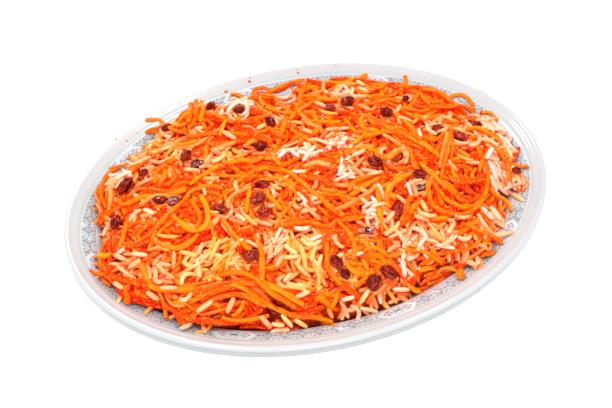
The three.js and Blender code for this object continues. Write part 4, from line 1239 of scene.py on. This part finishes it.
def plate_piece():
    """The platter, whose corners carry their place along the border, their inset (less than 0
    underneath) and half the length of their sector."""
    angles, nearness, sectors = [], [], []
    for start, stop in zip(MEDALLION_ANGLES, MEDALLION_ANGLES[1:]):
        fine = np.radians(np.linspace(start, stop, ARC_STEPS))
        x, y = oval_point(fine, BAND_MIDDLE)
        lengths = np.r_[0, np.cumsum(np.hypot(np.diff(x), np.diff(y)))]
        marks = np.linspace(0, lengths[-1], SECTOR_COLUMNS + 1)
        angles += list(np.interp(marks[:-1], lengths, fine))
        left, right = marks[:-1], marks[1:]
        past = (left + right) / 2 > lengths[-1] / 2
        nearness += list(np.column_stack([left, right]) - np.where(past, lengths[-1], 0)[:, None])
        sectors += [lengths[-1] / 2] * SECTOR_COLUMNS
    angles, nearness, sectors = map(np.array, (angles, nearness, sectors))

    top, under = smooth_path(PLATE_TOP, 0.0012)[::-1], smooth_path(PLATE_UNDER, 0.0016)
    rows = [(oval_point(angles, inset), z, inset) for inset, z in top]
    rows += [(oval_point(angles, inset), z, -inset) for inset, z in under]
    for share in (0.6, 0.2):
        middle = share * np.array(oval_point(angles, top[0][0]))
        rows = [(middle, FLOOR_Z, CAP_MARK), *rows, (middle, FLOOR_Z - WALL, -CAP_MARK)]
    count, last = len(angles), len(rows) - 1
    points = np.vstack([np.column_stack([x, y, np.full(count, z)]) for (x, y), z, _ in rows])
    marks = np.array([mark for *_, mark in rows])
    caps = [np.arange(count)[None, :], (last * count + np.arange(count)[::-1])[None, :]]
    faces = [ring_quads(last + 1, count).reshape(-1, 4), *caps]
    piece = new_piece("platter", points, faces, plate_material())
    k, i = np.meshgrid(np.arange(last), np.arange(count), indexing="ij")
    near, far = nearness[i], np.stack([marks[k], marks[k + 1]], -1)
    corners = [
        np.stack([near[..., side], far[..., row], sectors[i]], -1)
        for side, row in ((0, 0), (0, 1), (1, 1), (1, 0))
    ]
    corners = np.vstack([
        np.stack(corners, 2).reshape(-1, 3),
        *(np.tile([0, mark, 1], (count, 1)) for mark in (CAP_MARK, -CAP_MARK)),
    ])
    border = piece.data.attributes.new("border", "FLOAT_VECTOR", "CORNER")
    border.data.foreach_set("vector", corners.astype(np.float32).ravel())
    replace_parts(piece, "plate")


plate_piece()


def node_form(name):
    """The middle of a node's box, its points and its axes, the longest first."""
    points = np.array([v.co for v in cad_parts[name].data.vertices])
    low, high = (np.array(corner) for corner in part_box(name))
    _, axes = np.linalg.eigh(np.cov((points - points.mean(0)).T))
    return (low + high) / 2, points, axes.T[::-1]


class Raisin:
    """The place, axes and half sizes of a raisin, from its solid."""

    def __init__(self, name):
        self.name = name
        self.centre, points, self.axes = node_form(name)
        self.half = np.abs((points - self.centre) @ self.axes.T).max(0) * SKIN_SHARE
        self.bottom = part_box(name)[0][2]


RAISINS = [Raisin(f"raisin_{i:02d}") for i in range(1, RAISIN_COUNT + 1)]
RAISIN_CENTRES = np.array([raisin.centre[:2] for raisin in RAISINS])
RAISIN_ALONG = unit(np.array([raisin.axes[0][:2] for raisin in RAISINS]))
RAISIN_HALF = np.array([raisin.half[:2] for raisin in RAISINS])
RAISIN_BOTTOMS = np.array([raisin.bottom for raisin in RAISINS])
RAISINS_SEEN = picture_place(*np.array([raisin.centre for raisin in RAISINS]).T)

# Raisins that look paler or more grey than the rest: how thin and how flecked their skin is.
PLAIN_AGE = (0.1, 0.02)
RAISIN_AGES = {
    6: (0.0, 0.8), 10: (0.1, 0.5), 12: (0.7, 0.1), 13: (0.8, 0.1), 14: (0.9, 0.1), 16: (0.9, 0.2),
    21: (0.8, 0.1), 25: (0.0, 0.7), 26: (0.6, 0.1), 28: (1.0, 0.1), 30: (0.5, 0.1), 36: (0.2, 0.9),
}


def raisin_share(x, y, margin):
    """For each place: the nearest raisin, its own coordinates of the place, and how far out
    the place lies in the raisin's oval, 1 at its edge widened by a margin."""
    dx = np.asarray(x)[..., None] - RAISIN_CENTRES[:, 0]
    dy = np.asarray(y)[..., None] - RAISIN_CENTRES[:, 1]
    along = dx * RAISIN_ALONG[:, 0] + dy * RAISIN_ALONG[:, 1]
    across = dy * RAISIN_ALONG[:, 0] - dx * RAISIN_ALONG[:, 1]
    share = np.hypot(along / (RAISIN_HALF[:, 0] + margin), across / (RAISIN_HALF[:, 1] + margin))
    nearest = share.argmin(-1)
    return nearest, np.take_along_axis(share, nearest[..., None], -1)[..., 0]


def before_raisin(x, y, z, reach=1.0):
    """Whether places stand before a raisin in the picture, within a share of what it takes up."""
    u, v = picture_place(x, y, z)
    off_u = (np.asarray(u)[..., None] - RAISINS_SEEN[0]) / CLEAR_WIDTH
    off_v = (np.asarray(v)[..., None] - RAISINS_SEEN[1]) / CLEAR_HEIGHT
    ahead = np.array([math.sin(VIEW_TURN), math.cos(VIEW_TURN)])
    nearer = (np.stack([x, y], -1) @ ahead)[..., None] < RAISIN_CENTRES @ ahead
    return ((off_u**2 + off_v**2 < reach**2) & nearer).any(-1)


def enters_raisin(grain):
    """Whether a grain would stand in a raisin rather than lie under it."""
    nearest, share = raisin_share(grain.x, grain.y, RAISIN_MARGIN)
    return bool(((share < 1) & (grain.top() > RAISIN_BOTTOMS[nearest] + RAISIN_DEPTH)).any())


def covers_raisin(grain):
    """Whether a grain would hide or enter a raisin."""
    return enters_raisin(grain) or bool(before_raisin(grain.x, grain.y, grain.top()).any())


def past_raisins(path, margin):
    """A path moved aside where it grazes a raisin; one that runs over its middle stays."""
    nearest, share = raisin_share(path[:, 0], path[:, 1], margin)
    crossed = set(nearest[share < RAISIN_CROSSED])
    push = np.where((share < 1) & ~np.isin(nearest, list(crossed)), 1 / (share + 1e-9), 1)
    moved = RAISIN_CENTRES[nearest] + (path - RAISIN_CENTRES[nearest]) * push[:, None]
    return np.column_stack([smoothed(column, 3) for column in moved.T])


def clear_stretch(path, margin):
    """The longest run of a path that keeps off the raisins, doesn't hide their middles from the
    picture, and keeps off the patches of bare rice."""
    _, share = raisin_share(path[:, 0], path[:, 1], margin)
    heights = field.at(path[:, 0], path[:, 1]) + STRIP_THICKNESS
    free = (share > 1) & ~in_rice(path[:, 0], path[:, 1])
    free &= ~before_raisin(path[:, 0], path[:, 1], heights, LOOSE_CLEAR)
    best = run = (0, 0)
    for k, good in enumerate(free):
        run = (run[0], k + 1) if good else (k + 1, k + 1)
        best = max(best, run, key=lambda stretch: stretch[1] - stretch[0])
    return path[best[0]:best[1]]


def unit_ball():
    """The points and triangles of a ball of radius 1."""
    work = bmesh.new()
    bmesh.ops.create_icosphere(work, subdivisions=BALL_LEVELS, radius=1.0)
    work.verts.index_update()
    points = np.array([v.co for v in work.verts])
    faces = np.array([[v.index for v in face.verts] for face in work.faces])
    work.free()
    return points, faces


def wrinkled(p, seed, ridges):
    """How deep a raisin's skin is folded at a place on the ball, and its distance from the middle:
    lumps, long folds round its length and fine creases."""
    lump = noise.noise(p * 1.2 + seed)
    turn = math.atan2(p.z, p.y) * ridges / 2 + 3.5 * noise.noise(p * 1.1 - seed)
    fold = (1 - abs(math.sin(turn))) ** 2 * math.sqrt(max(0, 1 - p.x**2))
    fold = max(0, fold * (0.7 + 0.9 * noise.noise(p * 2.1 + 2 * seed)))
    crease = 1 - abs(noise.noise(Vector((p.x * 2.2, p.y * 6, p.z * 6)) - seed)) * 3.0
    return fold, 1.0 + 0.2 * lump - 0.36 * fold - 0.08 * max(0, crease) ** 2


def raisin_pieces(material):
    ball, triangles = unit_ball()
    for number, raisin in enumerate(RAISINS):
        seed = Vector((3.7 * number, 1.9 * number, 0))
        ridges = 6 + number % 3
        folds, sizes = np.array([wrinkled(Vector(point), seed, ridges) for point in ball]).T
        points = raisin.centre + ball * sizes[:, None] * raisin.half @ raisin.axes
        faces = triangles[:, ::-1] if np.linalg.det(raisin.axes) < 0 else triangles
        age = [*RAISIN_AGES.get(number + 1, PLAIN_AGE), 0]
        values = {
            "fold": folds, "skin": ball + np.array(seed), "age": np.tile(age, (len(points), 1))
        }
        piece = new_piece(raisin.name + "_skin", points, [faces], material, values)
        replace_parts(piece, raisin.name)


draw = np.random.default_rng(SEED)
field = HeightField(HALF_LENGTH + FIELD_MARGIN, HALF_WIDTH + FIELD_MARGIN, FIELD_CELL)
reach_at, angle_at = heap_reach(field.x, field.y)


def core_height(x, y):
    """The core's surface: the solid's form, sunk and drawn in to the outline, with a mound under
    each raisin."""
    reach, t = heap_reach(x, y)
    spread = heap_spread(t) - MOAT
    edge_x, edge_y = heap_edge(t)
    edge_z = plate_top(spread * edge_x, spread * edge_y) + CORE_CLEAR
    within = np.minimum(1, reach / spread)
    dome = (HEAP_PEAK - CORE_DROP - edge_z) * (1 - within**CORE_SHOULDER) ** HEAP_ROUNDING
    slope = CORE_SLOPE + CORE_FAR_SLOPE * np.maximum(0, np.sin(t))
    flank = slope * (1 - within) * spread * np.hypot(edge_x, edge_y)
    height = edge_z + np.minimum(dome, flank) + heap_waves(x, y) * (1 - within**2)
    rim = edge_z + RIM_SLOPE * (1 - within) * spread * np.hypot(edge_x, edge_y)
    for (middle_x, middle_y), bottom in zip(RAISIN_CENTRES, RAISIN_BOTTOMS):
        away = np.hypot(x - middle_x, y - middle_y)
        mound = bottom - MOUND_DEPTH - MOUND_SLOPE * np.maximum(0, away - MOUND_FLAT)
        height = np.maximum(height, np.minimum(mound, rim))
    return height


on_core = reach_at < heap_spread(angle_at) - MOAT
core_top = np.maximum(core_height(field.x, field.y), field.z + CORE_CLEAR)
field.z = np.where(on_core, core_top, field.z)


def at_place(function, x, y):
    """What a function of arrays of places gives at one place."""
    return function(np.array([x]), np.array([y]))[0]


def random_place(least=0.0, most=1.0):
    """A place on the heap, evenly spread by area between two reaches."""
    t = draw.uniform(-math.pi, math.pi)
    reach = math.sqrt(draw.uniform(least**2, most**2)) * heap_spread(t)
    x, y = heap_edge(t)
    return reach * x, reach * y


def random_grain(place, spread=1.0):
    """A grain that lies roughly as its neighbours do."""
    x, y = place
    flow = 1.6 * math.sin(x / 0.019 + 2) + 1.4 * math.sin(y / 0.015 + x / 0.03)
    return Grain(
        field, place, flow + draw.normal(0, 1.0), GRAIN_LENGTH * draw.uniform(0.72, 1.18),
        GRAIN_WIDTH * draw.uniform(0.78, 1.12), draw.normal(0, GRAIN_BEND) * spread,
    )


def in_patch(u, v, patch, reach):
    """Whether picture places lie in the oval of a patch of rice, widened to a squared reach."""
    middle_u, middle_v, half_u, half_v, _ = patch
    return ((u - middle_u) / half_u) ** 2 + ((v - middle_v) / half_v) ** 2 < reach


def rice_kind(grain):
    """The kind of rice that the picture shows at a grain's place."""
    middle = len(grain.x) // 2
    u, v = picture_place(grain.x[middle], grain.y[middle], grain.z[middle])
    for patch in RICE_PATCHES.values():
        if in_patch(u, v, patch, PATCH_REACH) and draw.random() < PATCH_PURITY:
            return patch[-1]
    return draw.choice(list(RICE_SHARES), p=list(RICE_SHARES.values()))


def in_rice(x, y):
    """Whether the picture shows bare rice at places on the field."""
    u, v = picture_place(x, y, field.at(x, y))
    return np.any([in_patch(u, v, patch, 1) for patch in RICE_PATCHES.values()], axis=0)


def lay_grain(grain, kept):
    """Lays a grain for good."""
    grain.stamp(field)
    kept.append((grain, rice_kind(grain), draw.random()))


def shape_core(count):
    """Raises the field by random grains that aren't made, as relief of the core."""
    for _ in range(count):
        grain = random_grain(random_place())
        if not covers_raisin(grain):
            grain.stamp(field)


def lay_grains(count, kept, least=0.0, most=1.0, bare=False):
    """Lays random grains on the heap, or on its bare rice alone."""
    for _ in range(count):
        place = random_place(least, most)
        while bare and not at_place(in_rice, *place):
            place = random_place(least, most)
        grain = random_grain(place)
        if not covers_raisin(grain):
            lay_grain(grain, kept)


def lay_strip(path, width, lift=0.0):
    """Lays a strip whose ends may stand up a little."""
    sag = draw.uniform(0.00004, 0.0001)
    thickness = STRIP_THICKNESS * draw.uniform(0.8, 1.25)
    strip = Strip(field, path, width, thickness, sag, draw, lift)
    strip.stamp(field)
    return strip


def strip_lines(text):
    """The lines of a part of the picture: colour, width and picture places."""
    for line in text.split("\n"):
        if line.strip():
            head, *places = line.split()
            yield head[0], float(head[1:]) * STRIP_PIXEL, picture_points(" ".join(places))


def seen_path(places, heights):
    """The path in plan that picture places show on given heights of the field."""
    return smooth_path(seen_places(places, lambda x, y: field.at(x, y, heights)), STRIP_STEP)


def wavy_path(x, y, heading, length):
    """A path from a place that bends once and waves."""
    bend, wave = draw.normal(0, 1.1), draw.normal(0, 0.5)
    share = np.linspace(0, 1, round(length / STRIP_STEP))
    turns = heading + bend * (share - 0.5) + wave * np.sin(2 * np.pi * share)
    return np.column_stack([
        x + STRIP_STEP * np.cumsum(np.cos(turns)), y + STRIP_STEP * np.cumsum(np.sin(turns))
    ])


def random_path():
    """A wavy path, mostly along the picture's width."""
    x, y = random_place(0, 0.97)
    heading = -VIEW_TURN + draw.normal(0.15, 0.75)
    return wavy_path(x, y, heading, draw.uniform(0.028, 0.065))


def bundle_path():
    """A path beside one that the picture shows, turned a little, as strips lie in bundles."""
    if draw.random() < 0.3:
        return random_path()
    path = seen_paths[draw.integers(len(seen_paths))]
    middle = path.mean(0)
    turn = draw.normal(0, 0.3)
    cos, sin = math.cos(turn), math.sin(turn)
    path = middle + (path - middle) @ np.array([[cos, sin], [-sin, cos]]) * draw.uniform(0.8, 1.2)
    return smooth_path(path[::4] + draw.normal(0, 0.006, 2), STRIP_STEP)


def edge_path():
    """A path that runs along the heap's edge and wanders across it."""
    start = draw.uniform(-math.pi, math.pi)
    length = draw.uniform(0.02, 0.05)
    share = np.linspace(0, 1, round(length / STRIP_STEP))
    angle = start + share * length / HALF_WIDTH
    reach = draw.uniform(0.88, 1.0) + draw.normal(0, 0.03) * (share - 0.5)
    reach = (reach + draw.normal(0, 0.012) * np.sin(2 * np.pi * share)) * heap_spread(angle)
    x, y = heap_edge(angle)
    return np.column_stack([reach * x, reach * y])


def lay_loose_strip(path, kept):
    """Lays a strip along the longest stretch of a path that is off the raisins and bare rice."""
    reach, angle = heap_reach(path[:, 0], path[:, 1])
    path = path[reach < heap_spread(angle) - 0.005]
    width = STRIP_WIDTH * draw.uniform(0.6, 1.2)
    path = clear_stretch(path, width / 2) if len(path) > 4 else path
    if len(path) * STRIP_STEP > STRIP_SHORTEST:
        kind = draw.choice(list(CARROT_SHARES), p=list(CARROT_SHARES.values()))
        kept.append((lay_strip(path, width), kind, draw.random()))


def lay_loose_strips(count, kept, kind_of_path):
    for _ in range(count):
        lay_loose_strip(kind_of_path(), kept)


def fill_gaps(count, grains, strips):
    """Lays grains and short strips where the core or the platter still shows inside the outline,
    steep flanks counting as thinner covered."""
    for _ in range(count):
        bare = np.argwhere(food_part & ((field.z - core_heights) * core_levelness < GAP_COVER))
        if not len(bare):
            break
        i, j = bare[draw.integers(len(bare))]
        x, y = field.x[i, j], field.y[i, j]
        if at_place(in_rice, x, y) or draw.random() < 0.5:
            grain = random_grain((x, y), 0.5)
            if not covers_raisin(grain):
                lay_grain(grain, grains)
        else:
            heading = draw.uniform(0, 2 * math.pi)
            if reach_at[i, j] > heap_spread(angle_at[i, j]) - NEAR_EDGE:
                heading = math.atan2(HALF_WIDTH**2 * x, -(HALF_LENGTH**2) * y) + draw.normal(0, 0.4)
            path = wavy_path(x, y, heading, draw.uniform(0.014, 0.03))
            path += np.array([x, y]) - path[len(path) // 2]
            lay_loose_strip(path, strips)


def lay_seen_strips(text, kept):
    """Lays the strips of a part of the picture."""
    for kind, width, places in strip_lines(text):
        path = past_raisins(seen_path(places, field.blurred(5) + 0.0012), width * 0.4)
        kept.append((lay_strip(path, width, draw.uniform(0, 0.0016)), kind, draw.random()))


def lay_seen_grains(text, kept):
    """Lays the grains that stand out in the picture, each in line with its places there."""
    for entry in filter(str.strip, text.replace("\n", "|").split("|")):
        places = picture_points(entry)
        heights = field.blurred(4) + 0.001
        plan = seen_places(places, lambda x, y: field.at(x, y, heights))
        chord, middle = plan[-1] - plan[0], (plan[0] + plan[-1]) / 2
        heading, length = math.atan2(chord[1], chord[0]), float(np.hypot(*chord))
        beside = np.array([-chord[1], chord[0]])
        bend = float((plan[1:-1].mean(0) - middle) @ beside) / length if len(plan) > 2 else 0.0
        grain = Grain(
            field, middle - 0.4 * bend * beside / length, heading,
            min(max(length, SHORTEST_SEEN), LONGEST_SEEN),
            GRAIN_WIDTH * draw.uniform(0.95, 1.15), 1.3 * bend,
        )
        grain.stamp(field)
        kept.append((grain, rice_kind(grain), draw.uniform(0.55, 0.95)))


def bed_raisins(kept):
    """Heaps grains under each raisin that stands clear of the food."""
    for raisin, ahead in zip(RAISINS, RAISIN_ALONG):
        beside = np.array([-ahead[1], ahead[0]])
        steps = np.array([0 * ahead, ahead, -ahead, beside, -beside])
        spots = raisin.centre[:2] + 0.45 * raisin.half[[0, 0, 0, 1, 1], None] * steps
        for _ in range(BED_TRIES):
            gap = raisin.bottom - np.median(field.at(*spots.T))
            if gap < BED_GAP:
                break
            grain = random_grain(raisin.centre[:2] + draw.normal(0, 0.0015 + 0.3 * gap, 2))
            if not enters_raisin(grain):
                lay_grain(grain, kept)


def stamp_raisins():
    """Raises the field to the raisins, for what lies on them."""
    for raisin, heading in zip(RAISINS, RAISIN_ALONG):
        along = np.linspace(-0.6, 0.6, 5)[:, None] * raisin.half[0] * heading
        x, y = (raisin.centre[:2] + along).T
        field.stamp(
            x, y, np.full(5, raisin.centre[2]), np.full(5, 0.8 * raisin.half[1]),
            0.8 * raisin.half[2],
        )


shape_core(1100)
core_heights = field.z.copy()
core_levelness = 1 / np.sqrt(1 + sum(g**2 for g in np.gradient(field.blurred(2), field.cell)))
food_part = reach_at < heap_spread(angle_at) - FOOD_EDGE
grains, strips = [], []
smooth_heights = np.where(reach_at < 1, heap_top(field.x, field.y) + 0.0015, field.z)
seen_paths = [
    seen_path(places, smooth_heights)
    for part in STRIPS.values() for *_, places in strip_lines(part) if len(places) > 3
]
lay_grains(350, grains, 0.88, 0.965)
lay_grains(1400, grains)
lay_grains(350, grains, 0.82, 0.96)
fill_gaps(500, grains, strips)
lay_loose_strips(340, strips, bundle_path)
lay_loose_strips(170, strips, edge_path)
lay_grains(90, grains)
lay_grains(180, grains, 0.85, 0.96)
lay_grains(300, grains, bare=True)
lay_loose_strips(460, strips, bundle_path)
lay_loose_strips(170, strips, edge_path)
lay_grains(170, grains, bare=True)
fill_gaps(800, grains, strips)
bed_raisins(grains)
stamp_raisins()
for part in STRIPS.values():
    lay_seen_strips(part, strips)
lay_seen_grains(GRAINS, grains)
lay_grains(40, grains, bare=True)
lay_grains(12, grains, most=0.94)


def core_piece():
    """The body of rice under the laid grains, with their relief, closed on the platter."""
    t = 2 * np.pi * np.arange(CORE_COLUMNS) / CORE_COLUMNS
    edge = (heap_spread(t) - MOAT) * heap_edge(t)
    top_shares = np.linspace(0, 1, CORE_RINGS + 1)[1:, None]
    low_shares = np.linspace(1, 0, CORE_LOW_RINGS + 2)[1:-1, None]
    x, y = top_shares * edge[0], top_shares * edge[1]
    low_x, low_y = low_shares * edge[0], low_shares * edge[1]
    top = field.at(x, y, core_heights)
    top[-1] = plate_top(x[-1], y[-1]) + CORE_CLEAR
    points = np.vstack([
        [[0, 0, field.at(np.zeros(1), np.zeros(1), core_heights)[0]]],
        np.stack([x, y, top], -1).reshape(-1, 3),
        np.stack([low_x, low_y, plate_top(low_x, low_y) + CORE_CLEAR], -1).reshape(-1, 3),
        [[0, 0, FLOOR_Z + CORE_CLEAR]],
    ])
    quads = 1 + ring_quads(CORE_RINGS + CORE_LOW_RINGS, CORE_COLUMNS)
    i = np.arange(CORE_COLUMNS)
    j = (i + 1) % CORE_COLUMNS
    end = len(points) - 1
    last = end - CORE_COLUMNS
    top_fan = np.column_stack([np.zeros(CORE_COLUMNS, int), 1 + i, 1 + j])
    low_fan = np.column_stack([last + i, np.full(CORE_COLUMNS, end), last + j])
    faces = [quads.reshape(-1, 4), np.vstack([top_fan, low_fan])]
    bare = in_rice(points[:, 0], points[:, 1])
    return new_piece("rice_core", points, faces, core_material(), {"bare": bare})


def laid_pieces(laid, materials, ending=""):
    """Makes what was laid, apart from what is buried, as one piece of each kind."""
    for kind, material in materials.items():
        tubes = Tubes()
        for item, item_kind, tint in laid:
            if item_kind == kind and item.cover(field) < HIDDEN:
                item.build(tubes, tint)
        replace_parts(tubes.make(material.name + ending, material), "pulao_heap")


field_blurred = field.blurred(5)
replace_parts(core_piece(), "pulao_heap")
laid_pieces(grains, RICES)
laid_pieces(strips, CARROTS, "_strips")
raisin_pieces(raisin_material())


def lump(tubes, centre, size, sides=6):
    """Adds a small uneven lump."""
    heading = draw.uniform(0, math.pi)
    ahead = np.array([math.cos(heading), math.sin(heading), draw.normal(0, 0.2)])
    ahead /= np.linalg.norm(ahead)
    across = unit(np.cross([0, 0, 1.0], ahead))
    stations = np.array([-0.7, 0.0, 0.7])
    centres = centre + stations[:, None] * ahead * size
    radius = size * np.array([0.6, 1.0, 0.55]) * draw.uniform(0.75, 1.2, 3)
    shape = np.tile(across, (3, 1)), np.tile(np.cross(ahead, across), (3, 1))
    rings = tube_rings(centres, *shape, radius, radius * 0.8, section_points(sides, 0.9))
    tubes.add(rings, [centres[0] - 0.3 * size * ahead, centres[-1] + 0.3 * size * ahead],
              draw.random(), 3 * size)


specks = Tubes()
for _ in range(SPECKS):
    x, y = random_place(0, 0.97)
    lump(specks, np.array([x, y, at_place(field.at, x, y)]), draw.uniform(*SPECK_SIZES))
specks.make("spice_specks", speck_material())

crumbs = Tubes()
for (x, y), (*_, size) in zip(seen_places([crumb[:2] for crumb in CRUMBS], plate_top), CRUMBS):
    size *= CRUMB_SIZE
    lump(crumbs, np.array([x, y, at_place(plate_top, x, y) + 0.5 * size]), size, 8)
crumbs.make("rim_crumbs", CARROTS["y"])


def loose_piece(name, centres, ahead, reach, shape, tint, length, material):
    """A lone tube along centres, whose ends stand out by a reach. Shape gives its directions,
    half sizes and section."""
    across, out, half_width, half_thickness, section = shape
    sides = [np.tile(direction, (len(centres), 1)) for direction in (across, out)]
    tubes = Tubes()
    tubes.add(
        tube_rings(centres, *sides, half_width, half_thickness, section),
        [centres[0] - reach * ahead, centres[-1] + reach * ahead], tint, length,
    )
    return tubes.make(name, material)


def loose_carrot():
    """The short carrot piece that lies on the platter's band."""
    middle, points, axes = node_form("band_carrot")
    ahead, _, out = axes
    half = np.abs((points - points.mean(0)) @ axes.T).max(0)
    out = -out if out[2] < 0 else out
    share = np.linspace(-0.88, 0.88, 8)
    swell = 1 - 0.25 * share**4
    shape = np.cross(out, ahead), out, half[1] * swell, half[2] * swell, STRIP_SECTION
    piece = loose_piece(
        "loose_carrot", middle + share[:, None] * half[0] * ahead, ahead, 0.1 * half[0], shape,
        0.6, 2 * half[0], CARROTS["o"],
    )
    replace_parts(piece, "band_carrot")


def loose_grain():
    """The loose grain that lies on the platter's band, bent a little."""
    middle, points, (ahead, *_) = node_form("band_grain")
    half = np.abs((points - points.mean(0)) @ ahead).max()
    across = unit(np.cross([0, 0, 1.0], ahead))
    centres = middle + GRAIN_STATIONS[:, None] * half * ahead
    centres += 0.0006 * (1 - GRAIN_STATIONS[:, None] ** 2 - 0.5) * across
    radius = GRAIN_SWELL * GRAIN_WIDTH / 2
    piece = loose_piece(
        "loose_grain", centres, ahead, 0.04 * half,
        (across, np.cross(ahead, across), radius, radius, GRAIN_SECTION),
        0.7, 2 * half, RICES["cream"],
    )
    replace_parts(piece, "band_grain")


loose_carrot()
loose_grain()


def linked(name, data, place=(0, 0, 0)):
    """A new object in the scene at a place."""
    made = bpy.data.objects.new(name, data)
    made.location = place
    bpy.context.collection.objects.link(made)
    return made


def face_middle(thing, back):
    """Turns a lamp or camera to look against a direction."""
    thing.rotation_euler = (-back).to_track_quat("-Z", "Y").to_euler()


def studio_floor():
    """The pale ground just under the platter."""
    material = floor_material()
    mesh = bpy.data.meshes.new("floor")
    corners = [(-1, -1), (1, -1), (1, 1), (-1, 1)]
    mesh.from_pydata([(x * FLOOR_HALF, y * FLOOR_HALF, 0) for x, y in corners], [], [(0, 1, 2, 3)])
    mesh.materials.append(material)
    linked("floor", mesh, (0, 0, -FLOOR_DROP))


def studio_light():
    """A white world, dim for glossy rays, and four lamps."""
    scene = bpy.context.scene
    world = bpy.data.worlds.new("studio")
    world.use_nodes = True
    tree = world.node_tree
    background = tree.nodes["Background"]
    background.inputs["Color"].default_value = (1.0, 1.0, 1.0, 1)
    rays = tree.nodes.new("ShaderNodeLightPath")
    strength = Value(tree, rays.outputs["Is Glossy Ray"]) * -GLOSSY_DIM + WORLD_STRENGTH
    tree.links.new(strength.source, background.inputs["Strength"])
    scene.world = world
    scene.cycles.diffuse_bounces = DIFFUSE_BOUNCES
    scene.view_settings.view_transform = "Standard"
    for name, place, size, power in LAMPS:
        light = bpy.data.lights.new(name, "AREA")
        light.size, light.energy = size, power
        face_middle(linked(name, light, place), Vector(place))


def picture_camera():
    """The camera of the picture's view."""
    data = bpy.data.cameras.new("camera")
    data.sensor_width = 36.0
    data.lens = FOCAL_PIXELS / PICTURE_WIDTH * data.sensor_width
    turn, rise = VIEW_TURN, VIEW_ELEVATION
    target = Vector((
        VIEW_SHIFT[0] * math.cos(turn) + VIEW_SHIFT[1] * math.sin(turn),
        VIEW_SHIFT[1] * math.cos(turn) - VIEW_SHIFT[0] * math.sin(turn),
        LIP_TOP,
    ))
    back = Vector((
        -math.sin(turn) * math.cos(rise), -math.cos(turn) * math.cos(rise), math.sin(rise)
    ))
    camera = linked("camera", data, target + VIEW_DISTANCE * back)
    face_middle(camera, back)
    bpy.context.scene.camera = camera


studio_floor()
studio_light()
picture_camera()
